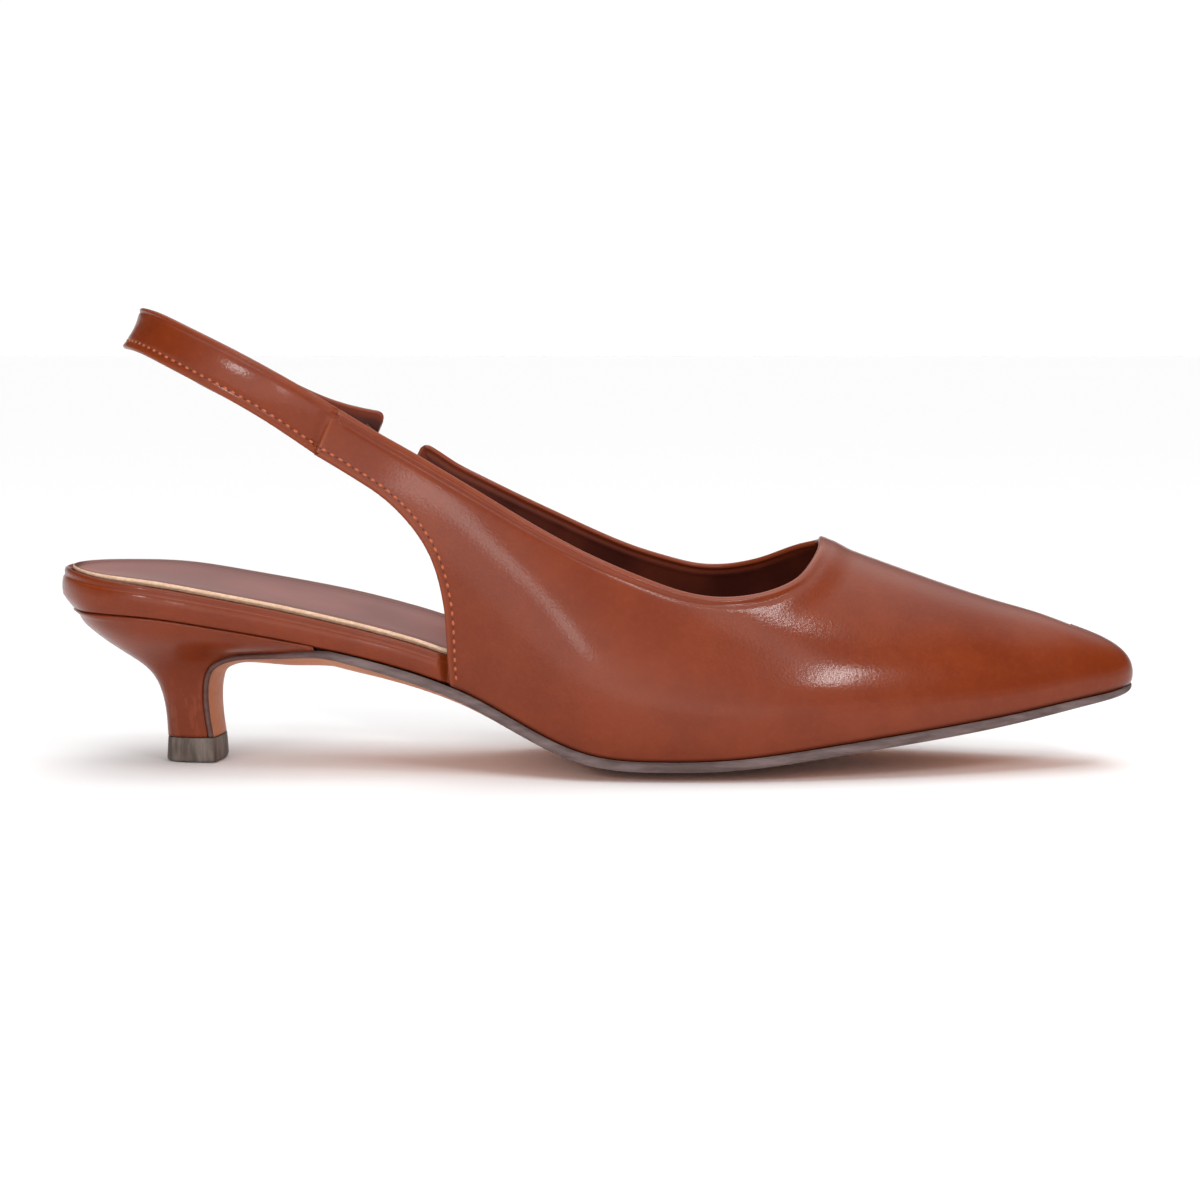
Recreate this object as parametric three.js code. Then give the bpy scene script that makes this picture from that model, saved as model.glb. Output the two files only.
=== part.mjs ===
// Right-foot slingback kitten heel pump with a pointed toe, built as a shoemaker would put it together:
// hollow upper, sling strap, elastic, sock, footbed, outsole, heel and top piece.
// Millimetres. +X points to the toe, +Y to the inner (medial) side, +Z up.
// The origin is the middle of the heel's top piece, on the floor.
import * as THREE from 'three';

// Driving dimensions
const LENGTH = 258.5;          // back of the seat to the tip of the toe
const HEEL_SETBACK = 32;       // back of the seat behind the middle of the top piece
const BALL_WIDTH = 70;         // sole across the joints
const EDGE_HEIGHT = 4.6;       // top of the sole's edge above the floor at the tread
const TOE_SPRING = 14.6;       // rise of that edge at the toe
const SEAT_RISE = 32.6;        // rise of the footbed's lower edge at the back of the seat
const TOE_HEIGHT = 14;         // upper above its lower edge where the nose rounds over
const INSTEP_HEIGHT = 49;      // the same at the throat
const ANKLE_HEIGHT = 84;       // the same where the quarters' surface would close over the ankle

const SOLE_THICKNESS = 2.4;
const BREAST_THICKNESS = 1.4;  // outsole where it covers the heel's breast
const SOLE_CROWN = 4;          // belly of the sole below its edges at the shank
const SOLE_MARGIN = 0.6;       // sole beyond the upper
const UPPER_WALL = 1.6;
const FOOTBED_WALL = 7;        // side of the wrapped footbed at the heel
const FOOTBED_BULGE = 0.6;
const WAIST_TWIST = 3;         // inner side above the outer at the waist
const SEAT_DISH = 1.1;
const SOCK_THICKNESS = 1.3;
const SOCK_INSET = 1.2;
const GAP = 0.3;

const TIP_HEIGHT = 5.8;
const TIP_WIDTH = 15;
const TIP_FLARE = 0.3;
const BREAST_REACH = 36;       // sole's station in front of the heel, from the origin
const LIP_REACH = 32;          // front of the heel's lip, from the origin
const BREAST_CROWN = 1.2;
const HEEL_TWIST = 0.06;       // how far the breast turns to the outer side, as a slope

const STRAP_WIDTH = 11;
const STRAP_THICKNESS = 2;
const STRAP_HEIGHT = 104.6;    // middle of the strap above the floor at the back
const STRAP_DROP = 26;         // fall of the strap from there to its seam at the quarter
const STRAP_SPAN = 54;         // across the loop
const STRAP_BACK = 14.5;       // back of the loop behind the origin
const STRAP_FORWARD = 35;      // seam at the quarter in front of the origin
const STRAP_CUP = 1.9;         // hollow of the strap's back between its edges
const ELASTIC_WIDTH = 5;
const ELASTIC_THICKNESS = 1.1;
const ELASTIC_LAP = 5;
const ELASTIC_DROP = 3.1;      // its middle below the middle of the strap

// Sections from the tip of the toe to the back of the seat. x is a share of LENGTH from the back of the
// seat, outer and inner are shares of BALL_WIDTH, spring of TOE_SPRING, rise of SEAT_RISE, crown of
// SOLE_CROWN, wall of FOOTBED_WALL, twist of WAIST_TWIST.
const SECTIONS = [
  { x: 1, outer: 0, inner: 0, spring: 1, rise: 0, crown: 0, wall: 0.31, twist: 0 },
  { x: 0.9945, outer: 0.06, inner: 0.058, spring: 0.985, rise: 0, crown: 0.05, wall: 0.31, twist: 0 },
  { x: 0.977, outer: 0.12, inner: 0.113, spring: 0.92, rise: 0, crown: 0.14, wall: 0.31, twist: 0 },
  { x: 0.94, outer: 0.19, inner: 0.174, spring: 0.815, rise: 0, crown: 0.28, wall: 0.31, twist: 0 },
  { x: 0.886, outer: 0.275, inner: 0.247, spring: 0.65, rise: 0, crown: 0.42, wall: 0.31, twist: 0 },
  { x: 0.824, outer: 0.36, inner: 0.324, spring: 0.49, rise: 0, crown: 0.54, wall: 0.31, twist: 0 },
  { x: 0.758, outer: 0.43, inner: 0.392, spring: 0.33, rise: 0, crown: 0.63, wall: 0.31, twist: 0 },
  { x: 0.692, outer: 0.481, inner: 0.445, spring: 0.165, rise: 0, crown: 0.69, wall: 0.31, twist: 0 },
  { x: 0.627, outer: 0.51, inner: 0.475, spring: 0.03, rise: 0, crown: 0.71, wall: 0.32, twist: 0 },
  { x: 0.561, outer: 0.517, inner: 0.47, spring: 0, rise: 0, crown: 0.71, wall: 0.36, twist: 0 },
  { x: 0.499, outer: 0.5, inner: 0.425, spring: 0, rise: 0.045, crown: 0.74, wall: 0.5, twist: 0.2 },
  { x: 0.441, outer: 0.448, inner: 0.355, spring: 0, rise: 0.235, crown: 0.82, wall: 0.74, twist: 0.5 },
  { x: 0.382, outer: 0.39, inner: 0.297, spring: 0, rise: 0.468, crown: 0.98, wall: 0.95, twist: 0.8 },
  { x: 0.317, outer: 0.35, inner: 0.27, spring: 0, rise: 0.635, crown: 1.12, wall: 0.96, twist: 1 },
  { x: 0.263, outer: 0.343, inner: 0.276, spring: 0, rise: 0.738, crown: 1.22, wall: 0.97, twist: 1 },
  { x: 0.209, outer: 0.347, inner: 0.305, spring: 0, rise: 0.826, crown: 0.9, wall: 1, twist: 0.8 },
  { x: 0.155, outer: 0.36, inner: 0.34, spring: 0, rise: 0.902, crown: 0.75, wall: 1.04, twist: 0.6 },
  { x: 0.101, outer: 0.363, inner: 0.357, spring: 0, rise: 0.966, crown: 0.6, wall: 1.09, twist: 0.4 },
  { x: 0.05, outer: 0.311, inner: 0.311, spring: 0, rise: 0.99, crown: 0.4, wall: 1.16, twist: 0.2 },
  { x: 0.0165, outer: 0.182, inner: 0.182, spring: 0, rise: 0.998, crown: 0.15, wall: 1.25, twist: 0.05 },
  { x: 0.0028, outer: 0, inner: 0, spring: 0, rise: 1, crown: 0, wall: 1.28, twist: 0 },
];
const BACK = SECTIONS.length - 1;
const SHANK_END = 14;          // last section that the outsole shares
const CORNER = 12.15;          // where the quarters' back edge meets the sole
const COVER_START = 0.05;      // the footbed widens to its wrapped side from here
const COVER_END = 0.17;        // to here behind that corner

// Outsole behind the shank: under the heel's lip and down its breast. reach is a share of BREAST_REACH,
// height of the step from the top piece to the shank's edge, outer and inner of TIP_WIDTH.
const BREAST_SECTIONS = [
  { reach: 0.69, height: 0.955, outer: 1.26, inner: 1.1, crown: 2.7, twist: 0.35 },
  { reach: 0.4, height: 0.91, outer: 0.9, inner: 0.82, crown: 1.4, twist: 0.7 },
  { reach: 0.235, height: 0.845, outer: 0.715, inner: 0.67, crown: 1.05, twist: 0.9 },
  { reach: 0.138, height: 0.73, outer: 0.63, inner: 0.6, crown: 1, twist: 1 },
  { reach: 0.1, height: 0.52, outer: 0.575, inner: 0.56, crown: 0.95, twist: 1 },
  { reach: 0.102, height: 0.26, outer: 0.53, inner: 0.525, crown: 0.85, twist: 1 },
  { reach: 0.124, height: 0, outer: 0.5, inner: 0.5, crown: 0.7, twist: 1 },
];

// Rings of the heel from the seat to the top piece. station is the outsole's section at its front, back a
// share of HEEL_SETBACK, height of the step from top piece to seat, wide of BALL_WIDTH. seat is how much of
// the seat's outline the ring keeps, sag how much of the bend of the seat's edge.
const HEEL_RINGS = [
  { station: 14.38, back: 0.922, height: 0.955, wide: 0.352, seat: 1, sag: 0.9 },
  { station: 15, back: 0.815, height: 0.862, wide: 0.325, seat: 0.9, sag: 0.6 },
  { station: 16, back: 0.673, height: 0.758, wide: 0.27, seat: 0.7, sag: 0.3 },
  { station: 17, back: 0.512, height: 0.652, wide: 0.213, seat: 0.45, sag: 0.1 },
  { station: 18, back: 0.346, height: 0.53, wide: 0.163, seat: 0.22, sag: 0 },
  { station: 19, back: 0.253, height: 0.38, wide: 0.13, seat: 0.08, sag: 0 },
  { station: 20, back: 0.213, height: 0.2, wide: 0.114, seat: 0, sag: 0 },
  { station: 21, back: 0.2, height: 0, wide: 0.107, seat: 0, sag: 0 },
];

// Ridge of the last above each section. top is a share of LENGTH; toe, instep and ankle are shares of
// TOE_HEIGHT, INSTEP_HEIGHT and ANKLE_HEIGHT that add up; shift moves the ridge inward as a share of
// BALL_WIDTH.
const RIDGE = [
  { top: 0.944, toe: 1, instep: 0, ankle: 0, shift: 0.004 },
  { top: 0.9415, toe: 0.995, instep: 0.006, ankle: 0, shift: 0.006 },
  { top: 0.931, toe: 0.97, instep: 0.053, ankle: 0, shift: 0.01 },
  { top: 0.908, toe: 0.885, instep: 0.152, ankle: 0, shift: 0.018 },
  { top: 0.869, toe: 0.68, instep: 0.318, ankle: 0, shift: 0.028 },
  { top: 0.8165, toe: 0.4, instep: 0.536, ankle: 0, shift: 0.038 },
  { top: 0.7565, toe: 0.15, instep: 0.768, ankle: 0, shift: 0.046 },
  { top: 0.692, toe: 0, instep: 0.987, ankle: 0, shift: 0.05 },
  { top: 0.627, toe: 0, instep: 0.86, ankle: 0.182, shift: 0.05 },
  { top: 0.561, toe: 0, instep: 0.6, ankle: 0.433, shift: 0.046 },
  { top: 0.499, toe: 0, instep: 0.32, ankle: 0.69, shift: 0.036 },
  { top: 0.441, toe: 0, instep: 0.12, ankle: 0.857, shift: 0.024 },
  { top: 0.382, toe: 0, instep: 0.03, ankle: 0.93, shift: 0.012 },
  { top: 0.317, toe: 0, instep: 0, ankle: 0.97, shift: 0 },
  { top: 0.263, toe: 0, instep: 0, ankle: 0.99, shift: 0 },
  { top: 0.209, toe: 0, instep: 0, ankle: 1, shift: 0 },
];

// Walls of the last on their way from the sole's edge to the ridge. The bulges are shares of BALL_WIDTH,
// lift is the share of the height at which they bulge, the spreads the share of the way out from the ridge
// at which the shoulders round over.
const WALLS = [
  { lift: 0.45, outBulge: 0.02, inBulge: 0.02, outSpread: 0.86, inSpread: 0.86 },
  { lift: 0.44, outBulge: 0.024, inBulge: 0.024, outSpread: 0.84, inSpread: 0.84 },
  { lift: 0.4, outBulge: 0.034, inBulge: 0.034, outSpread: 0.8, inSpread: 0.78 },
  { lift: 0.36, outBulge: 0.05, inBulge: 0.048, outSpread: 0.74, inSpread: 0.7 },
  { lift: 0.31, outBulge: 0.06, inBulge: 0.054, outSpread: 0.68, inSpread: 0.62 },
  { lift: 0.28, outBulge: 0.085, inBulge: 0.075, outSpread: 0.67, inSpread: 0.6 },
  { lift: 0.25, outBulge: 0.11, inBulge: 0.095, outSpread: 0.66, inSpread: 0.6 },
  { lift: 0.22, outBulge: 0.135, inBulge: 0.115, outSpread: 0.66, inSpread: 0.62 },
  { lift: 0.2, outBulge: 0.15, inBulge: 0.13, outSpread: 0.68, inSpread: 0.66 },
  { lift: 0.19, outBulge: 0.15, inBulge: 0.135, outSpread: 0.74, inSpread: 0.76 },
  { lift: 0.2, outBulge: 0.135, inBulge: 0.15, outSpread: 0.83, inSpread: 0.92 },
  { lift: 0.22, outBulge: 0.115, inBulge: 0.17, outSpread: 0.95, inSpread: 1.12 },
  { lift: 0.25, outBulge: 0.1, inBulge: 0.18, outSpread: 1.12, inSpread: 1.36 },
  { lift: 0.28, outBulge: 0.095, inBulge: 0.18, outSpread: 1.26, inSpread: 1.58 },
  { lift: 0.3, outBulge: 0.1, inBulge: 0.18, outSpread: 1.35, inSpread: 1.68 },
  { lift: 0.32, outBulge: 0.11, inBulge: 0.16, outSpread: 1.4, inSpread: 1.6 },
];

// Cut edges of the upper, on the named side. x is a share of LENGTH from the back of the seat, up a share of
// the height at that place from the sole's edge to the ridge.
const TOPLINE = {
  throat: 0.71,
  outer: [
    { x: 0.7075, up: 0.958 }, { x: 0.698, up: 0.87 }, { x: 0.6836, up: 0.78 }, { x: 0.6655, up: 0.722 },
    { x: 0.6395, up: 0.667 }, { x: 0.615, up: 0.634 }, { x: 0.5865, up: 0.62 }, { x: 0.555, up: 0.624 },
    { x: 0.52, up: 0.63 }, { x: 0.4754, up: 0.628 }, { x: 0.4387, up: 0.621 }, { x: 0.3985, up: 0.62 },
    { x: 0.3725, up: 0.627 }, { x: 0.342, up: 0.643 }, { x: 0.306, up: 0.665 }, { x: 0.2695, up: 0.696 },
  ],
  inner: [
    { x: 0.7082, up: 0.974 }, { x: 0.701, up: 0.945 }, { x: 0.6895, up: 0.905 }, { x: 0.675, up: 0.853 },
    { x: 0.656, up: 0.79 }, { x: 0.6271, up: 0.717 }, { x: 0.598, up: 0.677 }, { x: 0.57, up: 0.666 },
    { x: 0.5404, up: 0.66 }, { x: 0.5017, up: 0.655 }, { x: 0.4631, up: 0.64 }, { x: 0.4244, up: 0.617 },
    { x: 0.3857, up: 0.604 }, { x: 0.3663, up: 0.606 }, { x: 0.347, up: 0.62 }, { x: 0.3327, up: 0.629 },
  ],
};
const BACK_EDGE = {
  outer: [
    { x: 0.3716, up: 0 }, { x: 0.3714, up: 0.12 }, { x: 0.3705, up: 0.208 }, { x: 0.367, up: 0.277 },
    { x: 0.3605, up: 0.342 }, { x: 0.3478, up: 0.404 }, { x: 0.3296, up: 0.453 }, { x: 0.3118, up: 0.484 },
    { x: 0.2913, up: 0.506 }, { x: 0.2731, up: 0.524 }, { x: 0.2515, up: 0.546 },
  ],
  inner: [
    { x: 0.3716, up: 0 }, { x: 0.3714, up: 0.1 }, { x: 0.3705, up: 0.185 }, { x: 0.367, up: 0.255 },
    { x: 0.361, up: 0.315 }, { x: 0.3501, up: 0.373 }, { x: 0.3335, up: 0.424 }, { x: 0.3118, up: 0.464 },
  ],
};

// The sling's middle line from the seam at the outer quarter round the back to its inner end. reach is a
// share of STRAP_FORWARD (or of STRAP_BACK behind the origin), side of half STRAP_SPAN, drop of STRAP_DROP,
// width of STRAP_WIDTH, cup of STRAP_CUP; lean is the slope of its width towards the toe.
const STRAP_SECTIONS = [
  { reach: 0.68, side: -0.965, drop: 0.64, lean: 0.56, width: 1.02, cup: 0 },
  { reach: 0.32, side: -0.88, drop: 0.38, lean: 0.54, width: 1, cup: 0 },
  { reach: 0.0, side: -0.72, drop: 0.175, lean: 0.5, width: 0.98, cup: 0.1 },
  { reach: -0.62, side: -0.45, drop: 0.035, lean: 0.42, width: 0.97, cup: 0.6 },
  { reach: -1.0, side: 0.0, drop: 0.0, lean: 0.3, width: 0.97, cup: 1 },
  { reach: -0.66, side: 0.45, drop: 0.09, lean: 0.34, width: 0.97, cup: 0.6 },
  { reach: -0.02, side: 0.74, drop: 0.33, lean: 0.42, width: 0.98, cup: 0.1 },
  { reach: 0.36, side: 0.9, drop: 0.59, lean: 0.4, width: 1, cup: 0 },
  { reach: 0.8, side: 0.985, drop: 0.87, lean: 0.36, width: 1, cup: 0 },
  { reach: 1.2, side: 1.0, drop: 1.0, lean: 0.38, width: 1, cup: 0 },
];

// Colours and looks
const LOOKS = {
  upper_leather: { color: 0x8a4a30, roughness: 0.42 },
  elastic_fabric: { color: 0x4d2418, roughness: 0.9 },
  sock_leather: { color: 0x8f676a, roughness: 0.6 },
  footbed_leather: { color: 0x8a4a30, roughness: 0.42 },
  sole_leather: { color: 0xb98c64, roughness: 0.6 },
  heel_leather: { color: 0x8a4a30, roughness: 0.42 },
  top_piece_rubber: { color: 0x77706a, roughness: 0.75 },
};

// Numbers along a row of sections
const lerp = (a, b, t) => a + (b - a) * t;

function spline(knots, values) {
  const n = knots.length;
  const bend = new Array(n).fill(0);
  const work = new Array(n).fill(0);
  for (let i = 1; i < n - 1; i++) {
    const share = (knots[i] - knots[i - 1]) / (knots[i + 1] - knots[i - 1]);
    const pivot = share * bend[i - 1] + 2;
    const after = (values[i + 1] - values[i]) / (knots[i + 1] - knots[i]);
    const before = (values[i] - values[i - 1]) / (knots[i] - knots[i - 1]);
    bend[i] = (share - 1) / pivot;
    work[i] = (6 * (after - before) / (knots[i + 1] - knots[i - 1]) - share * work[i - 1]) / pivot;
  }
  for (let i = n - 2; i > 0; i--) bend[i] = bend[i] * bend[i + 1] + work[i];
  bend[0] = 0;
  return (at) => {
    let i = 0;
    while (i < n - 2 && at > knots[i + 1]) i++;
    const step = knots[i + 1] - knots[i];
    const a = (knots[i + 1] - at) / step;
    const b = 1 - a;
    const curve = (a ** 3 - a) * bend[i] + (b ** 3 - b) * bend[i + 1];
    return a * values[i] + b * values[i + 1] + curve * step * step / 6;
  };
}

// A column of a table as a smooth function of the section number. Outer sections count negative, inner ones
// positive, and the row runs on past both ends so that the toe and the seat close round.
function around(rows, read) {
  const last = rows.length - 1;
  const knots = [];
  const values = [];
  for (let k = -last - 3; k <= last + 3; k++) {
    const over = Math.abs(k) > last;
    const row = over ? 2 * last - Math.abs(k) : Math.abs(k);
    const side = (k < 0) === over ? 1 : -1;
    knots.push(k);
    values.push(read(rows[row], side));
  }
  return spline(knots, values);
}

function along(rows, read) {
  return spline(rows.map((row, i) => i), rows.map(read));
}

const widthOf = (row, side) => side * BALL_WIDTH * (side < 0 ? row.outer : row.inner);
const planX = around(SECTIONS, (row) => row.x * LENGTH - HEEL_SETBACK);
const planY = around(SECTIONS, (row, side) => widthOf(row, side));
const edgeRise = around(SECTIONS, (row) => EDGE_HEIGHT + row.spring * TOE_SPRING + row.rise * SEAT_RISE);
const crownOf = around(SECTIONS, (row) => row.crown * SOLE_CROWN);
const wallOf = around(SECTIONS, (row) => row.wall * FOOTBED_WALL);
const twistOf = around(SECTIONS, (row) => row.twist * WAIST_TWIST);

// 1 where the footbed lies within the upper, 0 where its wrapped side shows
function insideUpper(k) {
  return THREE.MathUtils.smoothstep(CORNER + COVER_END - Math.abs(k), 0, COVER_END - COVER_START);
}

// Step along the section numbers over which a direction is read
const SMALL_STEP = 0.01;

// A point of the outline, moved inward by inset
function plan(k, inset) {
  if (k === 0) return { x: planX(0) - inset, y: 0, nx: 1, ny: 0 };
  if (Math.abs(k) === BACK) return { x: planX(BACK) + inset, y: 0, nx: -1, ny: 0 };
  const dx = planX(k + SMALL_STEP) - planX(k - SMALL_STEP);
  const dy = planY(k + SMALL_STEP) - planY(k - SMALL_STEP);
  const size = Math.hypot(dx, dy);
  return { x: planX(k) - dy / size * inset, y: planY(k) + dx / size * inset, nx: dy / size, ny: -dx / size };
}

// Footbed's lower edge at a section, with across running from -1 (outer) to 1 (inner)
function edgeHeight(s, across) {
  return edgeRise(s) + twistOf(s) * (across + 1) / 2;
}

// Solids
class Solid {
  constructor() {
    this.points = [];
    this.faces = [];
    this.seen = new Map();
  }

  point(x, y, z) {
    const key = [x, y, z].map((value) => Math.round(value * 1e4)).join(' ');
    if (!this.seen.has(key)) {
      this.seen.set(key, this.points.length);
      this.points.push([x, y, z]);
    }
    return this.seen.get(key);
  }

  triangle(a, b, c) {
    if (a !== b && b !== c && a !== c) this.faces.push([a, b, c]);
  }

  quad(a, b, c, d) {
    this.triangle(a, b, c);
    this.triangle(a, c, d);
  }

  // Joins rows of points with faces; flip turns the faces the other way
  sheet(rows, flip) {
    for (let i = 0; i + 1 < rows.length; i++) {
      for (let j = 0; j + 1 < rows[i].length; j++) {
        const four = [rows[i][j], rows[i][j + 1], rows[i + 1][j + 1], rows[i + 1][j]];
        if (flip) four.reverse();
        this.quad(...four);
      }
    }
  }

  mesh(name, look) {
    const positions = new Float32Array(this.faces.length * 9);
    this.faces.forEach((face, i) => face.forEach((p, j) => positions.set(this.points[p], i * 9 + j * 3)));
    const geometry = new THREE.BufferGeometry();
    geometry.setAttribute('position', new THREE.BufferAttribute(positions, 3));
    geometry.computeVertexNormals();
    const material = new THREE.MeshStandardMaterial(LOOKS[look]);
    material.name = look;
    const mesh = new THREE.Mesh(geometry, material);
    mesh.name = name;
    return mesh;
  }
}

function cross(a, b) {
  return [a[1] * b[2] - a[2] * b[1], a[2] * b[0] - a[0] * b[2], a[0] * b[1] - a[1] * b[0]];
}

function minus(a, b) {
  return [a[0] - b[0], a[1] - b[1], a[2] - b[2]];
}

function pointNormals(points, faces) {
  const normals = points.map(() => [0, 0, 0]);
  for (const [a, b, c] of faces) {
    const n = cross(minus(points[b], points[a]), minus(points[c], points[a]));
    for (const p of [a, b, c]) for (let i = 0; i < 3; i++) normals[p][i] += n[i];
  }
  return normals.map((n) => {
    const size = Math.hypot(...n) || 1;
    return n.map((value) => value / size);
  });
}

// Gives an open sheet of faces a second skin at move(point, normal) and closes the rim between them
function thicken(solid, move) {
  const skin = solid.faces.slice();
  const normals = pointNormals(solid.points, skin);
  const count = solid.points.length;
  const second = solid.points.map((p, i) => move(p, normals[i], i));
  second.forEach((p) => solid.points.push(p));
  const edges = new Set(skin.flatMap(([a, b, c]) => [a + ' ' + b, b + ' ' + c, c + ' ' + a]));
  for (const [a, b, c] of skin) {
    solid.faces.push([c + count, b + count, a + count]);
    for (const [from, to] of [[a, b], [b, c], [c, a]]) {
      if (!edges.has(to + ' ' + from)) solid.quad(to, from, from + count, to + count);
    }
  }
  return solid;
}

// Upper: points of the last's surface, up running from 0 at the sole to 1 at the ridge
const last = {
  x: along(RIDGE, (row) => row.top * LENGTH - HEEL_SETBACK),
  y: along(RIDGE, (row) => row.shift * BALL_WIDTH),
  rise: along(RIDGE, (row) => row.toe * TOE_HEIGHT + row.instep * INSTEP_HEIGHT + row.ankle * ANKLE_HEIGHT),
  lift: along(WALLS, (row) => row.lift),
  outBulge: along(WALLS, (row) => row.outBulge * BALL_WIDTH),
  inBulge: along(WALLS, (row) => row.inBulge * BALL_WIDTH),
  outSpread: along(WALLS, (row) => row.outSpread),
  inSpread: along(WALLS, (row) => row.inSpread),
};

const SLOPE_STEP = 2.5;
const ridgeHeight = (s) => edgeRise(s) + GAP + last.rise(s);

// Rise of the last's ridge for each millimetre forward, so that both sides meet in one round ridge
function ridgeSlope(s) {
  const ahead = Math.max(0, s - SLOPE_STEP);
  const behind = s + SLOPE_STEP;
  return (ridgeHeight(behind) - ridgeHeight(ahead)) / (last.x(behind) - last.x(ahead));
}

function lastPoint(s, side, up) {
  const foot = plan(side * s, 0);
  const z = edgeHeight(s, side) + GAP;
  const top = { x: last.x(s), y: last.y(s), z: ridgeHeight(s) };
  const bulge = side < 0 ? last.outBulge(s) : last.inBulge(s);
  const spread = side < 0 ? last.outSpread(s) : last.inSpread(s);
  const start = {
    x: foot.x + foot.nx * bulge,
    y: foot.y + foot.ny * bulge,
    z: lerp(z, top.z, last.lift(s)),
  };
  const shoulder = { x: lerp(top.x, foot.x, spread), y: lerp(top.y, foot.y, spread) };
  shoulder.z = top.z + ridgeSlope(s) * (shoulder.x - top.x);
  const rest = 1 - up;
  const shares = [rest ** 3, 3 * rest * rest * up, 3 * rest * up * up, up ** 3];
  const mix = (...four) => four.reduce((sum, value, i) => sum + value * shares[i], 0);
  return [
    mix(foot.x, start.x, shoulder.x, top.x),
    mix(foot.y, start.y, shoulder.y, top.y),
    mix(z, start.z, shoulder.z, top.z),
  ];
}

function find(low, high, value, read) {
  const rising = read(high) > read(low);
  for (let i = 0; i < 40; i++) {
    const middle = (low + high) / 2;
    if ((read(middle) < value) === rising) low = middle;
    else high = middle;
  }
  return (low + high) / 2;
}

// Where a table's place lies on the last: section number and share of the way up
function placeOnLast(side, row) {
  const x = row.x * LENGTH - HEEL_SETBACK;
  const s = find(4, RIDGE.length - 1, x, (at) => last.x(at));
  const low = lastPoint(s, side, 0)[2];
  const high = lastPoint(s, side, 1)[2];
  return { s, up: find(0, 1, lerp(low, high, row.up), (up) => lastPoint(s, side, up)[2]) };
}

// A smooth line over the last through places, read by its share of the length. before holds places on the
// other side, from which the line comes.
function lineOnLast(side, places, before) {
  const all = [
    ...before.map(({ s, up }) => ({ s, up: 2 - up, at: lastPoint(s, -side, up) })).reverse(),
    ...places.map(({ s, up }) => ({ s, up, at: lastPoint(s, side, up) })),
  ];
  const reach = [0];
  for (let i = 1; i < all.length; i++) {
    reach.push(reach[i - 1] + Math.hypot(...minus(all[i].at, all[i - 1].at)));
  }
  const first = reach[before.length];
  const size = reach[reach.length - 1] - first;
  const s = spline(reach, all.map((place) => place.s));
  const up = spline(reach, all.map((place) => place.up));
  return (share) => ({ s: s(first + share * size), up: up(first + share * size) });
}

const THROAT = find(4, 9, TOPLINE.throat * LENGTH - HEEL_SETBACK, (at) => last.x(at));
const TOE_COLUMNS = 15;
const FOOT_COLUMNS = 29;       // column at the corner of sole and back edge
const COLUMNS = 42;
const ROWS = 10;
const TURN = 0.56;             // share of the topline that lies in front of that column

function upper() {
  const solid = new Solid();
  for (const side of [-1, 1]) {
    const name = side < 0 ? 'outer' : 'inner';
    const other = side < 0 ? 'inner' : 'outer';
    const throat = { s: THROAT, up: 1 };
    const mirrored = TOPLINE[other].slice(0, 3).map((row) => placeOnLast(-side, row));
    const top = lineOnLast(side, [throat, ...TOPLINE[name].map((row) => placeOnLast(side, row))], mirrored);
    const back = lineOnLast(side, BACK_EDGE[name].map((row) => placeOnLast(side, row)), []);
    const corner = back(0).s;
    const rows = [];
    for (let i = 0; i <= COLUMNS; i++) {
      const topShare = i < FOOT_COLUMNS
        ? TURN * (i - TOE_COLUMNS) / (FOOT_COLUMNS - TOE_COLUMNS)
        : lerp(TURN, 1, (i - FOOT_COLUMNS) / (COLUMNS - FOOT_COLUMNS));
      const high = i <= TOE_COLUMNS ? { s: THROAT * i / TOE_COLUMNS, up: 1 } : top(topShare);
      const ahead = Math.max(0, i - TOE_COLUMNS) / (FOOT_COLUMNS - TOE_COLUMNS);
      const low = i <= FOOT_COLUMNS
        ? { s: i <= TOE_COLUMNS ? THROAT * i / TOE_COLUMNS : lerp(THROAT, corner, ahead), up: 0 }
        : back((i - FOOT_COLUMNS) / (COLUMNS - FOOT_COLUMNS));
      const row = [];
      for (let j = 0; j <= ROWS; j++) {
        const share = j / ROWS;
        row.push(solid.point(...lastPoint(lerp(low.s, high.s, share), side, lerp(low.up, high.up, share))));
      }
      rows.push(row);
    }
    solid.sheet(rows, side > 0);
  }
  const lowest = new Set(solid.points.map((p, i) => i).filter((i) => onSole(solid.points[i])));
  return thicken(solid, (p, n, i) => {
    const flat = Math.hypot(n[0], n[1]);
    if (lowest.has(i)) return [p[0] - n[0] / flat * UPPER_WALL, p[1] - n[1] / flat * UPPER_WALL, p[2]];
    return [p[0] - n[0] * UPPER_WALL, p[1] - n[1] * UPPER_WALL, p[2] - n[2] * UPPER_WALL];
  });
}

const SOLE_REACH = 0.02;

function onSole(p) {
  if (p[0] < planX(CORNER + 1)) return false;
  const s = find(0, CORNER + 1, p[0], planX);
  return Math.abs(p[2] - edgeHeight(s, Math.sign(p[1])) - GAP) < SOLE_REACH;
}

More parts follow.
